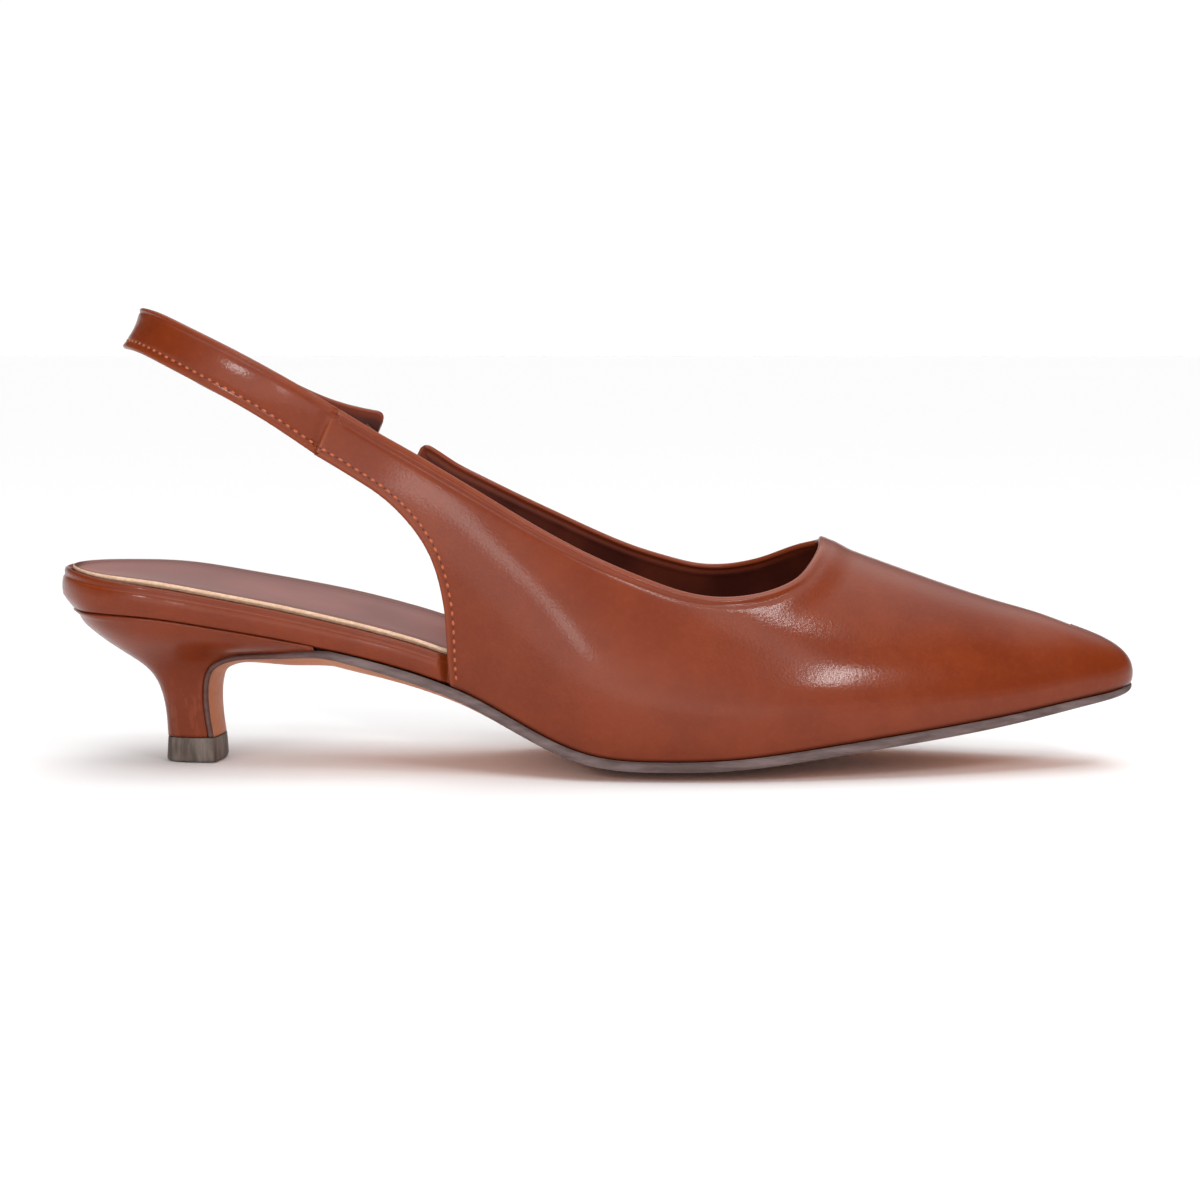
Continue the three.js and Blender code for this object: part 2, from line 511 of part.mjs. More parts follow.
// Outsole: its upper face, from the toe along the shank and down the heel's breast
const SOLE_ROWS = [
  ...SECTIONS.slice(0, SHANK_END + 1).map((row) => ({
    x: row.x * LENGTH - HEEL_SETBACK,
    outer: row.outer * BALL_WIDTH,
    inner: row.inner * BALL_WIDTH,
    z: EDGE_HEIGHT + row.spring * TOE_SPRING + row.rise * SEAT_RISE,
    crown: row.crown * SOLE_CROWN,
    twist: row.twist * WAIST_TWIST,
    turn: 0,
  })),
  ...BREAST_SECTIONS.map((row) => ({
    x: row.reach * BREAST_REACH,
    outer: row.outer * TIP_WIDTH,
    inner: row.inner * TIP_WIDTH,
    z: TIP_HEIGHT + GAP + row.height * (EDGE_HEIGHT + SECTIONS[SHANK_END].rise * SEAT_RISE - TIP_HEIGHT),
    crown: row.crown * BREAST_CROWN,
    twist: 0,
    turn: row.twist * HEEL_TWIST,
  })),
];
const SOLE_END = SOLE_ROWS.length - 1;
const behindShank = {};
for (const name of ['x', 'outer', 'inner', 'z', 'crown', 'twist', 'turn']) {
  behindShank[name] = along(SOLE_ROWS, (row) => row[name]);
}
const sole = {
  x: (s) => (s <= SHANK_END ? planX(s) : behindShank.x(s)),
  outer: (s) => (s <= SHANK_END ? -planY(-s) : behindShank.outer(s)),
  inner: (s) => (s <= SHANK_END ? planY(s) : behindShank.inner(s)),
  z: (s) => (s <= SHANK_END ? edgeRise(s) : behindShank.z(s)),
  crown: (s) => (s <= SHANK_END ? crownOf(s) : behindShank.crown(s)),
  twist: (s) => (s <= SHANK_END ? twistOf(s) : behindShank.twist(s)),
  turn: (s) => (s <= SHANK_END ? 0 : behindShank.turn(s)),
};

// A point of the outsole's upper face, or of the face that lies lift above it
function solePoint(s, across, lift) {
  const half = across < 0 ? sole.outer(s) : sole.inner(s);
  const low = Math.max(SHANK_END, s - SMALL_STEP);
  const high = Math.min(SOLE_END, Math.max(s, SHANK_END) + SMALL_STEP);
  const dx = sole.x(high) - sole.x(low);
  const dz = sole.z(high) - sole.z(low);
  const size = Math.hypot(dx, dz);
  const bend = THREE.MathUtils.smoothstep(s, SHANK_END, SHANK_END + 1.5);
  const down = { x: lerp(0, -dz / size, bend), z: lerp(-1, dx / size, bend) };
  const margin = SOLE_MARGIN * (1 - THREE.MathUtils.smoothstep(s, SHANK_END - 1, SHANK_END + 1));
  const edge = plan(across < 0 ? -s : s, -margin);
  const rim = s <= SHANK_END ? edge : { x: sole.x(s), y: Math.sign(across) * (half + margin) };
  const y = rim.y * Math.abs(across);
  const fall = sole.crown(s) * (1 - across * across) - lift;
  return [
    lerp(sole.x(s) + (s === 0 ? margin : 0), rim.x, Math.abs(across)) + down.x * fall + y * sole.turn(s),
    y,
    sole.z(s) + sole.twist(s) * (across + 1) / 2 + down.z * fall,
  ];
}

const ACROSS = 8;
const SOLE_STEPS = 2 * SOLE_END;
const SIDE_LEAN = 0.3;         // share of the sole's depth by which its side edges may lean

function outsole() {
  const solid = new Solid();
  const rows = [];
  const place = [];
  for (let i = 0; i <= SOLE_STEPS; i++) {
    const s = SOLE_END * i / SOLE_STEPS;
    const row = [];
    for (let j = 0; j <= ACROSS; j++) {
      const index = solid.point(...solePoint(s, 2 * j / ACROSS - 1, 0));
      row.push(index);
      place[index] = s;
    }
    rows.push(row);
  }
  solid.sheet(rows, false);
  return thicken(solid, (p, n, i) => {
    const thin = THREE.MathUtils.smoothstep(place[i], SHANK_END - 2, SHANK_END + 2);
    const depth = lerp(SOLE_THICKNESS, BREAST_THICKNESS, thin);
    const z = p[2] - n[2] * depth;
    const ends = place[i] > SOLE_END - SMALL_STEP;
    return [p[0] - n[0] * depth, p[1] - n[1] * depth * SIDE_LEAN, ends ? p[2] : Math.max(0, z)];
  });
}

// Footbed and sock: stations pair the outer and the inner side
const SLAB_STATIONS = Array.from({ length: 2 * BACK + 1 }, (unused, i) => i / 2)
  .concat([CORNER + COVER_START, CORNER + COVER_END])
  .sort((a, b) => a - b);

function slabRows(solid, insetOf, heightOf) {
  const rows = [];
  for (const s of SLAB_STATIONS) {
    const a = plan(-s, insetOf(s));
    const b = plan(s, insetOf(s));
    const row = [];
    for (let j = 0; j <= ACROSS; j++) {
      const t = j / ACROSS;
      const across = s === 0 || s === BACK ? 1 : 2 * t - 1;
      row.push(solid.point(lerp(a.x, b.x, t), lerp(a.y, b.y, t), heightOf(s, across)));
    }
    rows.push(row);
  }
  return rows;
}

function footbedInset(s) {
  return (UPPER_WALL + GAP) * insideUpper(s);
}

function footbedTop(s, across) {
  const dish = lerp(SEAT_DISH, crownOf(s), insideUpper(s) * THREE.MathUtils.smoothstep(CORNER - s, 0, 3));
  return edgeHeight(s, across) + wallOf(s) - dish * (1 - across * across);
}

function footbedBottom(s, across) {
  return edgeHeight(s, across) + GAP - crownOf(s) * (1 - across * across);
}

function edgeLoop(rows) {
  const outer = rows.map((row) => row[0]);
  const inner = rows.map((row) => row[row.length - 1]);
  return [...outer, ...inner.slice(1, -1).reverse()];
}

function footbed() {
  const solid = new Solid();
  const bottom = slabRows(solid, (s) => footbedInset(s), footbedBottom);
  const top = slabRows(solid, (s) => footbedInset(s), footbedTop);
  solid.sheet(bottom, true);
  solid.sheet(top, false);
  const layers = [0, 0.25, 0.5, 0.75, 1];
  const rings = layers.map((share, level) => {
    if (level === 0) return edgeLoop(bottom);
    if (level === layers.length - 1) return edgeLoop(top);
    const ring = (side) => SLAB_STATIONS.map((s) => {
      const bulge = FOOTBED_BULGE * (1 - insideUpper(s)) * Math.sin(Math.PI * share);
      const p = plan(side * s, footbedInset(s) - bulge);
      return solid.point(p.x, p.y, lerp(footbedBottom(s, side), footbedTop(s, side), share));
    });
    return [...ring(-1), ...ring(1).slice(1, -1).reverse()];
  });
  for (let level = 0; level + 1 < rings.length; level++) {
    solid.sheet([[...rings[level], rings[level][0]], [...rings[level + 1], rings[level + 1][0]]], true);
  }
  return solid;
}

function sock() {
  const solid = new Solid();
  const inset = (s) => footbedInset(s) + lerp(SOCK_INSET, GAP, insideUpper(s));
  const bottom = slabRows(solid, inset, (s, across) => footbedTop(s, across) + GAP);
  const top = slabRows(solid, inset, (s, across) => footbedTop(s, across) + GAP + SOCK_THICKNESS);
  solid.sheet(bottom, true);
  solid.sheet(top, false);
  const low = edgeLoop(bottom);
  const high = edgeLoop(top);
  solid.sheet([[...low, low[0]], [...high, high[0]]], true);
  return solid;
}

// Heel: rings of points, each from its front (0) to its back (HEEL_SIDE) on both sides
const LIP = find(SHANK_END - 1, SHANK_END + 2, LIP_REACH, planX);
const HEEL_SIDE = 14;
const HEEL_STEPS = 16;
const TIP_LENGTH_CURVE = 0.75; // roundness of the tip's outline: powers of the sine and cosine
const TIP_WIDTH_CURVE = 0.62;
const BREAST_BLEND = 0.6;      // share of a ring's length over which it narrows to the breast

// Loop round a grid of points whose last row has come to a point
function loopOf(grid) {
  const inner = grid.map((row) => row[row.length - 1]);
  const outer = grid.slice(0, -1).map((row) => row[0]);
  return [...grid[0].slice(1, -1), ...inner, ...outer.reverse()];
}

function heel() {
  const solid = new Solid();
  const column = {};
  for (const name of Object.keys(HEEL_RINGS[0])) column[name] = along(HEEL_RINGS, (row) => row[name]);
  const seatHeight = EDGE_HEIGHT + SEAT_RISE - TIP_HEIGHT;
  const lipX = planX(LIP);
  const widest = Math.max(...[-1, 1].map((side) => Math.abs(planY(side * (BACK - 3)))));
  const stationOf = (i) => lerp(LIP, BACK, i / HEEL_SIDE);
  const seatShare = (k) => (lipX - planX(k)) / (lipX + HEEL_SETBACK);
  const seam = (s) => edgeRise(s) - lerp(edgeRise(LIP), edgeRise(BACK), seatShare(s));
  const rings = [];
  const grids = [];
  const seatGrid = [];
  for (let i = 0; i <= HEEL_SIDE; i++) {
    const s = stationOf(i);
    const a = plan(-s, 0);
    const b = plan(s, 0);
    seatGrid.push(Array.from({ length: ACROSS + 1 }, (unused, j) => {
      const t = j / ACROSS;
      return solid.point(lerp(a.x, b.x, t), lerp(a.y, b.y, t), footbedBottom(s, 2 * t - 1) - GAP);
    }));
  }
  grids.push(seatGrid);
  rings.push(loopOf(seatGrid));
  for (let k = 0; k <= HEEL_STEPS; k++) {
    const at = (HEEL_RINGS.length - 1) * k / HEEL_STEPS;
    const station = column.station(at);
    const backX = -column.back(at) * HEEL_SETBACK;
    const backZ = TIP_HEIGHT + GAP + column.height(at) * (seatHeight - GAP);
    const keep = column.seat(at);
    const grid = [];
    for (let i = 0; i <= HEEL_SIDE; i++) {
      const s = stationOf(i);
      const ends = [-1, 1].map((side) => {
        const front = solePoint(station, side, GAP);
        const seatWide = Math.abs(planY(side * s)) / widest;
        const angle = Math.PI / 2 * i / HEEL_SIDE;
        const tipShare = Math.sin(angle) ** TIP_LENGTH_CURVE;
        const tipWide = Math.cos(angle) ** TIP_WIDTH_CURVE;
        const share = lerp(tipShare, seatShare(side * s), keep);
        const wide = lerp(tipWide, seatWide, keep) * column.wide(at) * BALL_WIDTH;
        const pull = (1 - Math.min(1, share / BREAST_BLEND)) ** 2;
        const frontWide = Math.abs(front[1]);
        const y = side * (i === HEEL_SIDE ? 0 : lerp(wide, frontWide, i === 0 ? 1 : pull));
        const lean = HEEL_TWIST * (y - front[1] * (1 - share)) * (1 - keep);
        const sag = column.sag(at) * seam(s);
        return [lerp(front[0], backX, share) + lean, y, lerp(front[2], backZ, share) + sag];
      });
      grid.push(Array.from({ length: ACROSS + 1 }, (unused, j) => {
        const t = j / ACROSS;
        if (i === 0) return solid.point(...solePoint(station, 2 * t - 1, GAP));
        if (j > 0 && j < ACROSS && k < HEEL_STEPS) return -1;
        return solid.point(...ends[0].map((value, c) => lerp(value, ends[1][c], t)));
      }));
    }
    grids.push(grid);
    rings.push(loopOf(grid));
  }
  for (let k = 0; k + 1 < rings.length; k++) {
    solid.sheet([[...rings[k], rings[k][0]], [...rings[k + 1], rings[k + 1][0]]], true);
  }
  solid.sheet(grids[0], false);
  solid.sheet(grids[grids.length - 1], true);
  return solid;
}

// Top piece: the heel's last ring, let down to the floor
function heelLift() {
  const solid = new Solid();
  const front = solePoint(SOLE_END, 0, -BREAST_THICKNESS)[0];
  const back = -HEEL_RINGS[HEEL_RINGS.length - 1].back * HEEL_SETBACK;
  const hollow = BREAST_CROWN * BREAST_SECTIONS[BREAST_SECTIONS.length - 1].crown;
  const loop = (grow, z) => {
    const rows = [];
    for (let i = 0; i <= HEEL_SIDE; i++) {
      const angle = Math.PI / 2 * i / HEEL_SIDE;
      const share = Math.sin(angle) ** TIP_LENGTH_CURVE;
      const half = Math.cos(angle) ** TIP_WIDTH_CURVE * (TIP_WIDTH / 2 + grow);
      rows.push(Array.from({ length: ACROSS + 1 }, (unused, j) => {
        const across = 2 * j / ACROSS - 1;
        const bow = i === 0 ? hollow * across * across : hollow;
        const x = lerp(front + grow - bow, back - grow, share);
        const y = i === HEEL_SIDE ? 0 : half * across;
        return solid.point(x + y * HEEL_TWIST, y, z);
      }));
    }
    return rows;
  };
  const top = loop(0, TIP_HEIGHT);
  const bottom = loop(TIP_FLARE, 0);
  solid.sheet(top, false);
  solid.sheet(bottom, true);
  const high = loopOf(top);
  const low = loopOf(bottom);
  solid.sheet([[...high, high[0]], [...low, low[0]]], true);
  return solid;
}

// Bands: a strip swept along a line, its outer face hollowed by cup
const BAND_ACROSS = 4;
const CUP_ARC = 0.36 * Math.PI; // the hollow is deepest above the middle and runs out at the lower edge

function band(line, steps) {
  const solid = new Solid();
  const rings = [];
  for (let i = 0; i <= steps; i++) {
    const share = i / steps;
    const here = line(share);
    const ahead = line(Math.min(1, share + 0.005)).middle;
    const behind = line(Math.max(0, share - 0.005)).middle;
    const run = minus(ahead, behind);
    const up = [Math.sin(here.lean), 0, Math.cos(here.lean)];
    const side = cross(run, up);
    const size = Math.hypot(...side);
    const inward = side.map((value) => value / size);
    const ring = [];
    for (let j = 0; j <= BAND_ACROSS; j++) ring.push([2 * j / BAND_ACROSS - 1, 1]);
    for (let j = BAND_ACROSS; j >= 0; j--) ring.push([2 * j / BAND_ACROSS - 1, -1]);
    rings.push(ring.map(([a, b]) => solid.point(...here.middle.map((value, c) => {
      const depth = b * here.thickness / 2 + here.cup * Math.sin(CUP_ARC * (a + 1));
      return value + up[c] * a * here.width / 2 + inward[c] * depth;
    }))));
  }
  for (let i = 0; i + 1 < rings.length; i++) {
    solid.sheet([[...rings[i], rings[i][0]], [...rings[i + 1], rings[i + 1][0]]], true);
  }
  for (const [ring, flip] of [[rings[0], false], [rings[rings.length - 1], true]]) {
    const half = ring.length / 2;
    const other = ring.slice(half).reverse();
    solid.sheet([ring.slice(0, half), other], flip);
  }
  return solid;
}

// The quarter's end on one side: the middle of its cut, its lean and its width
function quarterEnd(side) {
  const name = side < 0 ? 'outer' : 'inner';
  const [top, low] = [TOPLINE[name], BACK_EDGE[name]].map((rows) => {
    const place = placeOnLast(side, rows[rows.length - 1]);
    return lastPoint(place.s, side, place.up);
  });
  return {
    middle: top.map((value, c) => (value + low[c]) / 2),
    lean: Math.atan2(top[0] - low[0], top[2] - low[2]),
    width: Math.hypot(...minus(top, low)),
  };
}

const SEAM_GAP = 1.8 * GAP;    // strap's square end clear of the quarter's slanting cut

function strapRows() {
  const seam = quarterEnd(-1);
  const rows = STRAP_SECTIONS.map((row) => ({
    x: row.reach * (row.reach < 0 ? STRAP_BACK : STRAP_FORWARD),
    y: row.side * STRAP_SPAN / 2,
    z: STRAP_HEIGHT - row.drop * STRAP_DROP,
    lean: row.lean,
    width: row.width * STRAP_WIDTH,
    cup: row.cup * STRAP_CUP,
  }));
  const start = {
    x: seam.middle[0] - SEAM_GAP * Math.cos(seam.lean),
    y: seam.middle[1] + UPPER_WALL / 2,
    z: seam.middle[2] + SEAM_GAP * Math.sin(seam.lean),
    lean: seam.lean,
    width: seam.width - GAP,
    cup: 0,
  };
  return [start, ...rows];
}

const STRAP_ROWS = strapRows();
const STRAP_END = STRAP_ROWS.length - 1;
const strapLine = {};
for (const name of ['x', 'y', 'z', 'lean', 'width', 'cup']) {
  strapLine[name] = along(STRAP_ROWS, (row) => row[name]);
}

function strapAt(at) {
  return {
    middle: [strapLine.x(at), strapLine.y(at), strapLine.z(at)],
    lean: strapLine.lean(at),
    width: strapLine.width(at),
    thickness: STRAP_THICKNESS,
    cup: Math.max(0, strapLine.cup(at)),
  };
}

function slingStrap() {
  return band((share) => strapAt(share * STRAP_END), 4 * STRAP_END);
}

const ELASTIC_LEAN = 0.5;
const ELASTIC_STEPS = 6;

function elastic() {
  const end = strapAt(STRAP_END).middle;
  const tab = quarterEnd(1).middle;
  const run = minus(tab, end);
  const size = Math.hypot(...run);
  const reach = run.map((value) => value / size * ELASTIC_LAP);
  const inward = GAP + ELASTIC_THICKNESS / 2;
  const from = [end[0] - reach[0], end[1] - STRAP_THICKNESS / 2 - inward, end[2] - reach[2] - ELASTIC_DROP];
  const to = [tab[0] + reach[0], tab[1] - UPPER_WALL - inward - 2 * GAP, tab[2] + reach[2] - ELASTIC_DROP];
  return band((share) => ({
    middle: from.map((value, c) => lerp(value, to[c], share)),
    lean: ELASTIC_LEAN,
    width: ELASTIC_WIDTH,
    thickness: ELASTIC_THICKNESS,
    cup: 0,
  }), ELASTIC_STEPS);
}

const shoe = new THREE.Group();
shoe.name = 'kitten_heel_pump';
shoe.add(upper().mesh('upper', 'upper_leather'));
shoe.add(slingStrap().mesh('sling_strap', 'upper_leather'));
shoe.add(elastic().mesh('elastic_gore', 'elastic_fabric'));
shoe.add(sock().mesh('sock', 'sock_leather'));
shoe.add(footbed().mesh('footbed', 'footbed_leather'));
shoe.add(outsole().mesh('outsole', 'sole_leather'));
shoe.add(heel().mesh('heel', 'heel_leather'));
shoe.add(heelLift().mesh('heel_lift', 'top_piece_rubber'));

export default shoe;
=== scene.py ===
"""Right-foot slingback kitten heel pump in cognac leather, dressed for a studio picture.

All shapes are worked out in millimetres in the frame of the CAD model, and turned into metres when a mesh is
made.
"""

import math
import random

import bmesh
import bpy
import numpy as np
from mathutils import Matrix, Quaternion, Vector
from mathutils.bvhtree import BVHTree


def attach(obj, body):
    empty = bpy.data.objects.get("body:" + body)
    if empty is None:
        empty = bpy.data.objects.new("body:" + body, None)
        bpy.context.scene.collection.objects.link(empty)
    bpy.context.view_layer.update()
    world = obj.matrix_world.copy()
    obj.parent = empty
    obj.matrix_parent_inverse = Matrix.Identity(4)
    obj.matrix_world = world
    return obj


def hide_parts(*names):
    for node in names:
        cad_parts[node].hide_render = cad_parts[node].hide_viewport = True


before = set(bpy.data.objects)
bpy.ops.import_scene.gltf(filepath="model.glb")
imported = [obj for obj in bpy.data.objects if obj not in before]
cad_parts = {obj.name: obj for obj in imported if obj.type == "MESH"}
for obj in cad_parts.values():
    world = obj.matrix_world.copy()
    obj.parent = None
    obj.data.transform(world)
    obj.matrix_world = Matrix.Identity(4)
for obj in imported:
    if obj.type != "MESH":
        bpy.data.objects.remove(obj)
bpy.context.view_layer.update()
MM = 0.001
MERGE = 0.004

# Camera: angles in degrees, lengths in metres
TARGET = Vector((0.0985, 0.0, 0.039))
CAMERA_DISTANCE = 0.7
CAMERA_ELEVATION = 5
CAMERA_AZIMUTH = 2
LENS = 86.85

# Driving dimensions, the CAD model's own
LENGTH = 258.5
HEEL_SETBACK = 32
BALL_WIDTH = 70
EDGE_HEIGHT = 4.6
TOE_SPRING = 14.6
SEAT_RISE = 32.6
TOE_HEIGHT = 14
INSTEP_HEIGHT = 49
ANKLE_HEIGHT = 84
SOLE_THICKNESS = 2.4
BREAST_THICKNESS = 1.4
SOLE_CROWN = 4
SOLE_MARGIN = 0.6
UPPER_WALL = 1.6
FOOTBED_WALL = 7
FOOTBED_BULGE = 0.6
WAIST_TWIST = 3
SEAT_DISH = 1.1
SOCK_THICKNESS = 1.3
SOCK_INSET = 1.2
GAP = 0.3
TIP_HEIGHT = 5.8
TIP_WIDTH = 15
TIP_FLARE = 0.3
BREAST_REACH = 36
LIP_REACH = 32
BREAST_CROWN = 1.2
HEEL_TWIST = 0.06
STRAP_WIDTH = 11
STRAP_THICKNESS = 2
STRAP_HEIGHT = 104.6
STRAP_DROP = 26
STRAP_SPAN = 54
STRAP_BACK = 14.5
STRAP_FORWARD = 35
STRAP_CUP = 1.9
ELASTIC_WIDTH = 5
ELASTIC_THICKNESS = 1.1
ELASTIC_LAP = 5
ELASTIC_DROP = 3.1

# Columns: x, outer, inner, spring, rise, crown, wall, twist
SECTIONS = [
    (1, 0, 0, 1, 0, 0, 0.31, 0),
    (0.9945, 0.06, 0.058, 0.985, 0, 0.05, 0.31, 0),
    (0.977, 0.12, 0.113, 0.92, 0, 0.14, 0.31, 0),
    (0.94, 0.19, 0.174, 0.815, 0, 0.28, 0.31, 0),
    (0.886, 0.275, 0.247, 0.65, 0, 0.42, 0.31, 0),
    (0.824, 0.36, 0.324, 0.49, 0, 0.54, 0.31, 0),
    (0.758, 0.43, 0.392, 0.33, 0, 0.63, 0.31, 0),
    (0.692, 0.481, 0.445, 0.165, 0, 0.69, 0.31, 0),
    (0.627, 0.51, 0.475, 0.03, 0, 0.71, 0.32, 0),
    (0.561, 0.517, 0.47, 0, 0, 0.71, 0.36, 0),
    (0.499, 0.5, 0.425, 0, 0.045, 0.74, 0.5, 0.2),
    (0.441, 0.448, 0.355, 0, 0.235, 0.82, 0.74, 0.5),
    (0.382, 0.39, 0.297, 0, 0.468, 0.98, 0.95, 0.8),
    (0.317, 0.35, 0.27, 0, 0.635, 1.12, 0.96, 1),
    (0.263, 0.343, 0.276, 0, 0.738, 1.22, 0.97, 1),
    (0.209, 0.347, 0.305, 0, 0.826, 0.9, 1, 0.8),
    (0.155, 0.36, 0.34, 0, 0.902, 0.75, 1.04, 0.6),
    (0.101, 0.363, 0.357, 0, 0.966, 0.6, 1.09, 0.4),
    (0.05, 0.311, 0.311, 0, 0.99, 0.4, 1.16, 0.2),
    (0.0165, 0.182, 0.182, 0, 0.998, 0.15, 1.25, 0.05),
    (0.0028, 0, 0, 0, 1, 0, 1.28, 0),
]
BACK = len(SECTIONS) - 1
SHANK_END = 14
CORNER = 12.15
COVER_START = 0.05
COVER_END = 0.17

# Columns: reach, height, outer, inner, crown, twist
BREAST_SECTIONS = [
    (0.69, 0.955, 1.26, 1.1, 2.7, 0.35),
    (0.4, 0.91, 0.9, 0.82, 1.4, 0.7),
    (0.235, 0.845, 0.715, 0.67, 1.05, 0.9),
    (0.138, 0.73, 0.63, 0.6, 1, 1),
    (0.1, 0.52, 0.575, 0.56, 0.95, 1),
    (0.102, 0.26, 0.53, 0.525, 0.85, 1),
    (0.124, 0, 0.5, 0.5, 0.7, 1),
]

# Columns: station, back, height, wide, seat, sag
HEEL_RINGS = [
    (14.38, 0.922, 0.955, 0.352, 1, 0.9),
    (15, 0.815, 0.862, 0.325, 0.9, 0.6),
    (16, 0.673, 0.758, 0.27, 0.7, 0.3),
    (17, 0.512, 0.652, 0.213, 0.45, 0.1),
    (18, 0.346, 0.53, 0.163, 0.22, 0),
    (19, 0.253, 0.38, 0.13, 0.08, 0),
    (20, 0.213, 0.2, 0.114, 0, 0),
    (21, 0.2, 0, 0.107, 0, 0),
]

# Columns: top, toe, instep, ankle, shift, outer bulge, inner bulge, lift, outer spread, inner spread
LAST_SECTIONS = [
    (0.944, 1, 0, 0, 0.004, 0.02, 0.02, 0.45, 0.86, 0.86),
    (0.9415, 0.995, 0.006, 0, 0.006, 0.024, 0.024, 0.44, 0.84, 0.84),
    (0.931, 0.97, 0.053, 0, 0.01, 0.034, 0.034, 0.4, 0.8, 0.78),
    (0.908, 0.885, 0.152, 0, 0.018, 0.05, 0.048, 0.36, 0.74, 0.7),
    (0.869, 0.68, 0.318, 0, 0.028, 0.06, 0.054, 0.31, 0.68, 0.62),
    (0.8165, 0.4, 0.536, 0, 0.038, 0.085, 0.075, 0.28, 0.67, 0.6),
    (0.7565, 0.15, 0.768, 0, 0.046, 0.11, 0.095, 0.25, 0.66, 0.6),
    (0.692, 0, 0.987, 0, 0.05, 0.135, 0.115, 0.22, 0.66, 0.62),
    (0.627, 0, 0.86, 0.182, 0.05, 0.15, 0.13, 0.2, 0.68, 0.66),
    (0.561, 0, 0.6, 0.433, 0.046, 0.15, 0.135, 0.19, 0.74, 0.76),
    (0.499, 0, 0.32, 0.69, 0.036, 0.135, 0.15, 0.2, 0.83, 0.92),
    (0.441, 0, 0.12, 0.857, 0.024, 0.115, 0.17, 0.22, 0.95, 1.12),
    (0.382, 0, 0.03, 0.93, 0.012, 0.1, 0.18, 0.25, 1.12, 1.36),
    (0.317, 0, 0, 0.97, 0, 0.095, 0.18, 0.28, 1.26, 1.58),
    (0.263, 0, 0, 0.99, 0, 0.1, 0.18, 0.3, 1.35, 1.68),
    (0.209, 0, 0, 1, 0, 0.11, 0.16, 0.32, 1.4, 1.6),
]

# Columns: x, up; the key is the side, -1 outer and 1 inner
THROAT_X = 0.71
TOPLINE = {
    -1: [
        (0.7075, 0.958), (0.698, 0.87), (0.6836, 0.78), (0.6655, 0.722),
        (0.6395, 0.667), (0.615, 0.634), (0.5865, 0.62), (0.555, 0.624),
        (0.52, 0.63), (0.4754, 0.628), (0.4387, 0.621), (0.3985, 0.62),
        (0.3725, 0.627), (0.342, 0.643), (0.306, 0.665), (0.2695, 0.696),
    ],
    1: [
        (0.7082, 0.974), (0.701, 0.945), (0.6895, 0.905), (0.675, 0.853),
        (0.656, 0.79), (0.6271, 0.717), (0.598, 0.677), (0.57, 0.666),
        (0.5404, 0.66), (0.5017, 0.655), (0.4631, 0.64), (0.4244, 0.617),
        (0.3857, 0.604), (0.3663, 0.606), (0.347, 0.62), (0.3327, 0.629),
    ],
}
BACK_EDGE = {
    -1: [
        (0.3716, 0.0), (0.3714, 0.12), (0.3705, 0.208), (0.367, 0.277),
        (0.3605, 0.342), (0.3478, 0.404), (0.3296, 0.453), (0.3118, 0.484),
        (0.2913, 0.506), (0.2731, 0.524), (0.2515, 0.546),
    ],
    1: [
        (0.3716, 0.0), (0.3714, 0.1), (0.3705, 0.185), (0.367, 0.255),
        (0.361, 0.315), (0.3501, 0.373), (0.3335, 0.424), (0.3118, 0.464),
    ],
}

# Columns: reach, side, drop, lean, width, cup
STRAP_SECTIONS = [
    (0.68, -0.965, 0.64, 0.56, 1.02, 0),
    (0.32, -0.88, 0.38, 0.54, 1, 0),
    (0.0, -0.72, 0.175, 0.5, 0.98, 0.1),
    (-0.62, -0.45, 0.035, 0.42, 0.97, 0.6),
    (-1.0, 0.0, 0.0, 0.3, 0.97, 1),
    (-0.66, 0.45, 0.09, 0.34, 0.97, 0.6),
    (-0.02, 0.74, 0.33, 0.42, 0.98, 0.1),
    (0.36, 0.9, 0.59, 0.4, 1, 0),
    (0.8, 0.985, 0.87, 0.36, 1, 0),
    (1.2, 1.0, 1.0, 0.38, 1, 0),
]

# Details that only the picture shows
EDGE_ROLL = 0.7
THROAT_PUFF = 0.7
BEAD_HEIGHT = 0.25
BEAD_GROOVE = 0.15
EAR_ROUND = 2.2
REAR_TUCK = 1.7
REAR_TUCK_REACH = 4.2
HEEL_TUCK = 0.4
REAR_RIM = 1.1
RIM_INSET = 1.25
SEAM_INSET = 0.55
TOE_THIN = 0.5
TOE_SET_BACK = 1.3
STRAP_ROLL = 0.7
FACE_SINK = 0.12
SOCK_SETBACK = 0.9
STITCH_PITCH = 2.15
STITCH_LENGTH = 1.25
STITCH_WIDTH = 0.66
STITCH_INSET = 2.1


def lerp(a, b, t):
    return a + (b - a) * t


def smooth(value, low, high):
    t = np.clip((value - low) / (high - low), 0, 1)
    return t * t * (3 - 2 * t)


class Curve:
    """Natural cubic spline, the same as the CAD model's."""

    def __init__(self, knots, values):
        self.x = np.asarray(knots, float)
        self.y = np.asarray(values, float)
        n = len(self.x)
        self.bend = np.zeros(n)
        if n > 2:
            h = np.diff(self.x)
            slope = np.diff(self.y) / h
            table = np.diag(2 * (h[:-1] + h[1:])) + np.diag(h[1:-1], 1) + np.diag(h[1:-1], -1)
            self.bend[1:-1] = np.linalg.solve(table, 6 * np.diff(slope))

    def __call__(self, at):
        at = np.asarray(at, float)
        i = np.clip(np.searchsorted(self.x, at) - 1, 0, len(self.x) - 2)
        step = self.x[i + 1] - self.x[i]
        a = (self.x[i + 1] - at) / step
        b = 1 - a
        bent = (a**3 - a) * self.bend[i] + (b**3 - b) * self.bend[i + 1]
        return a * self.y[i] + b * self.y[i + 1] + bent * step * step / 6


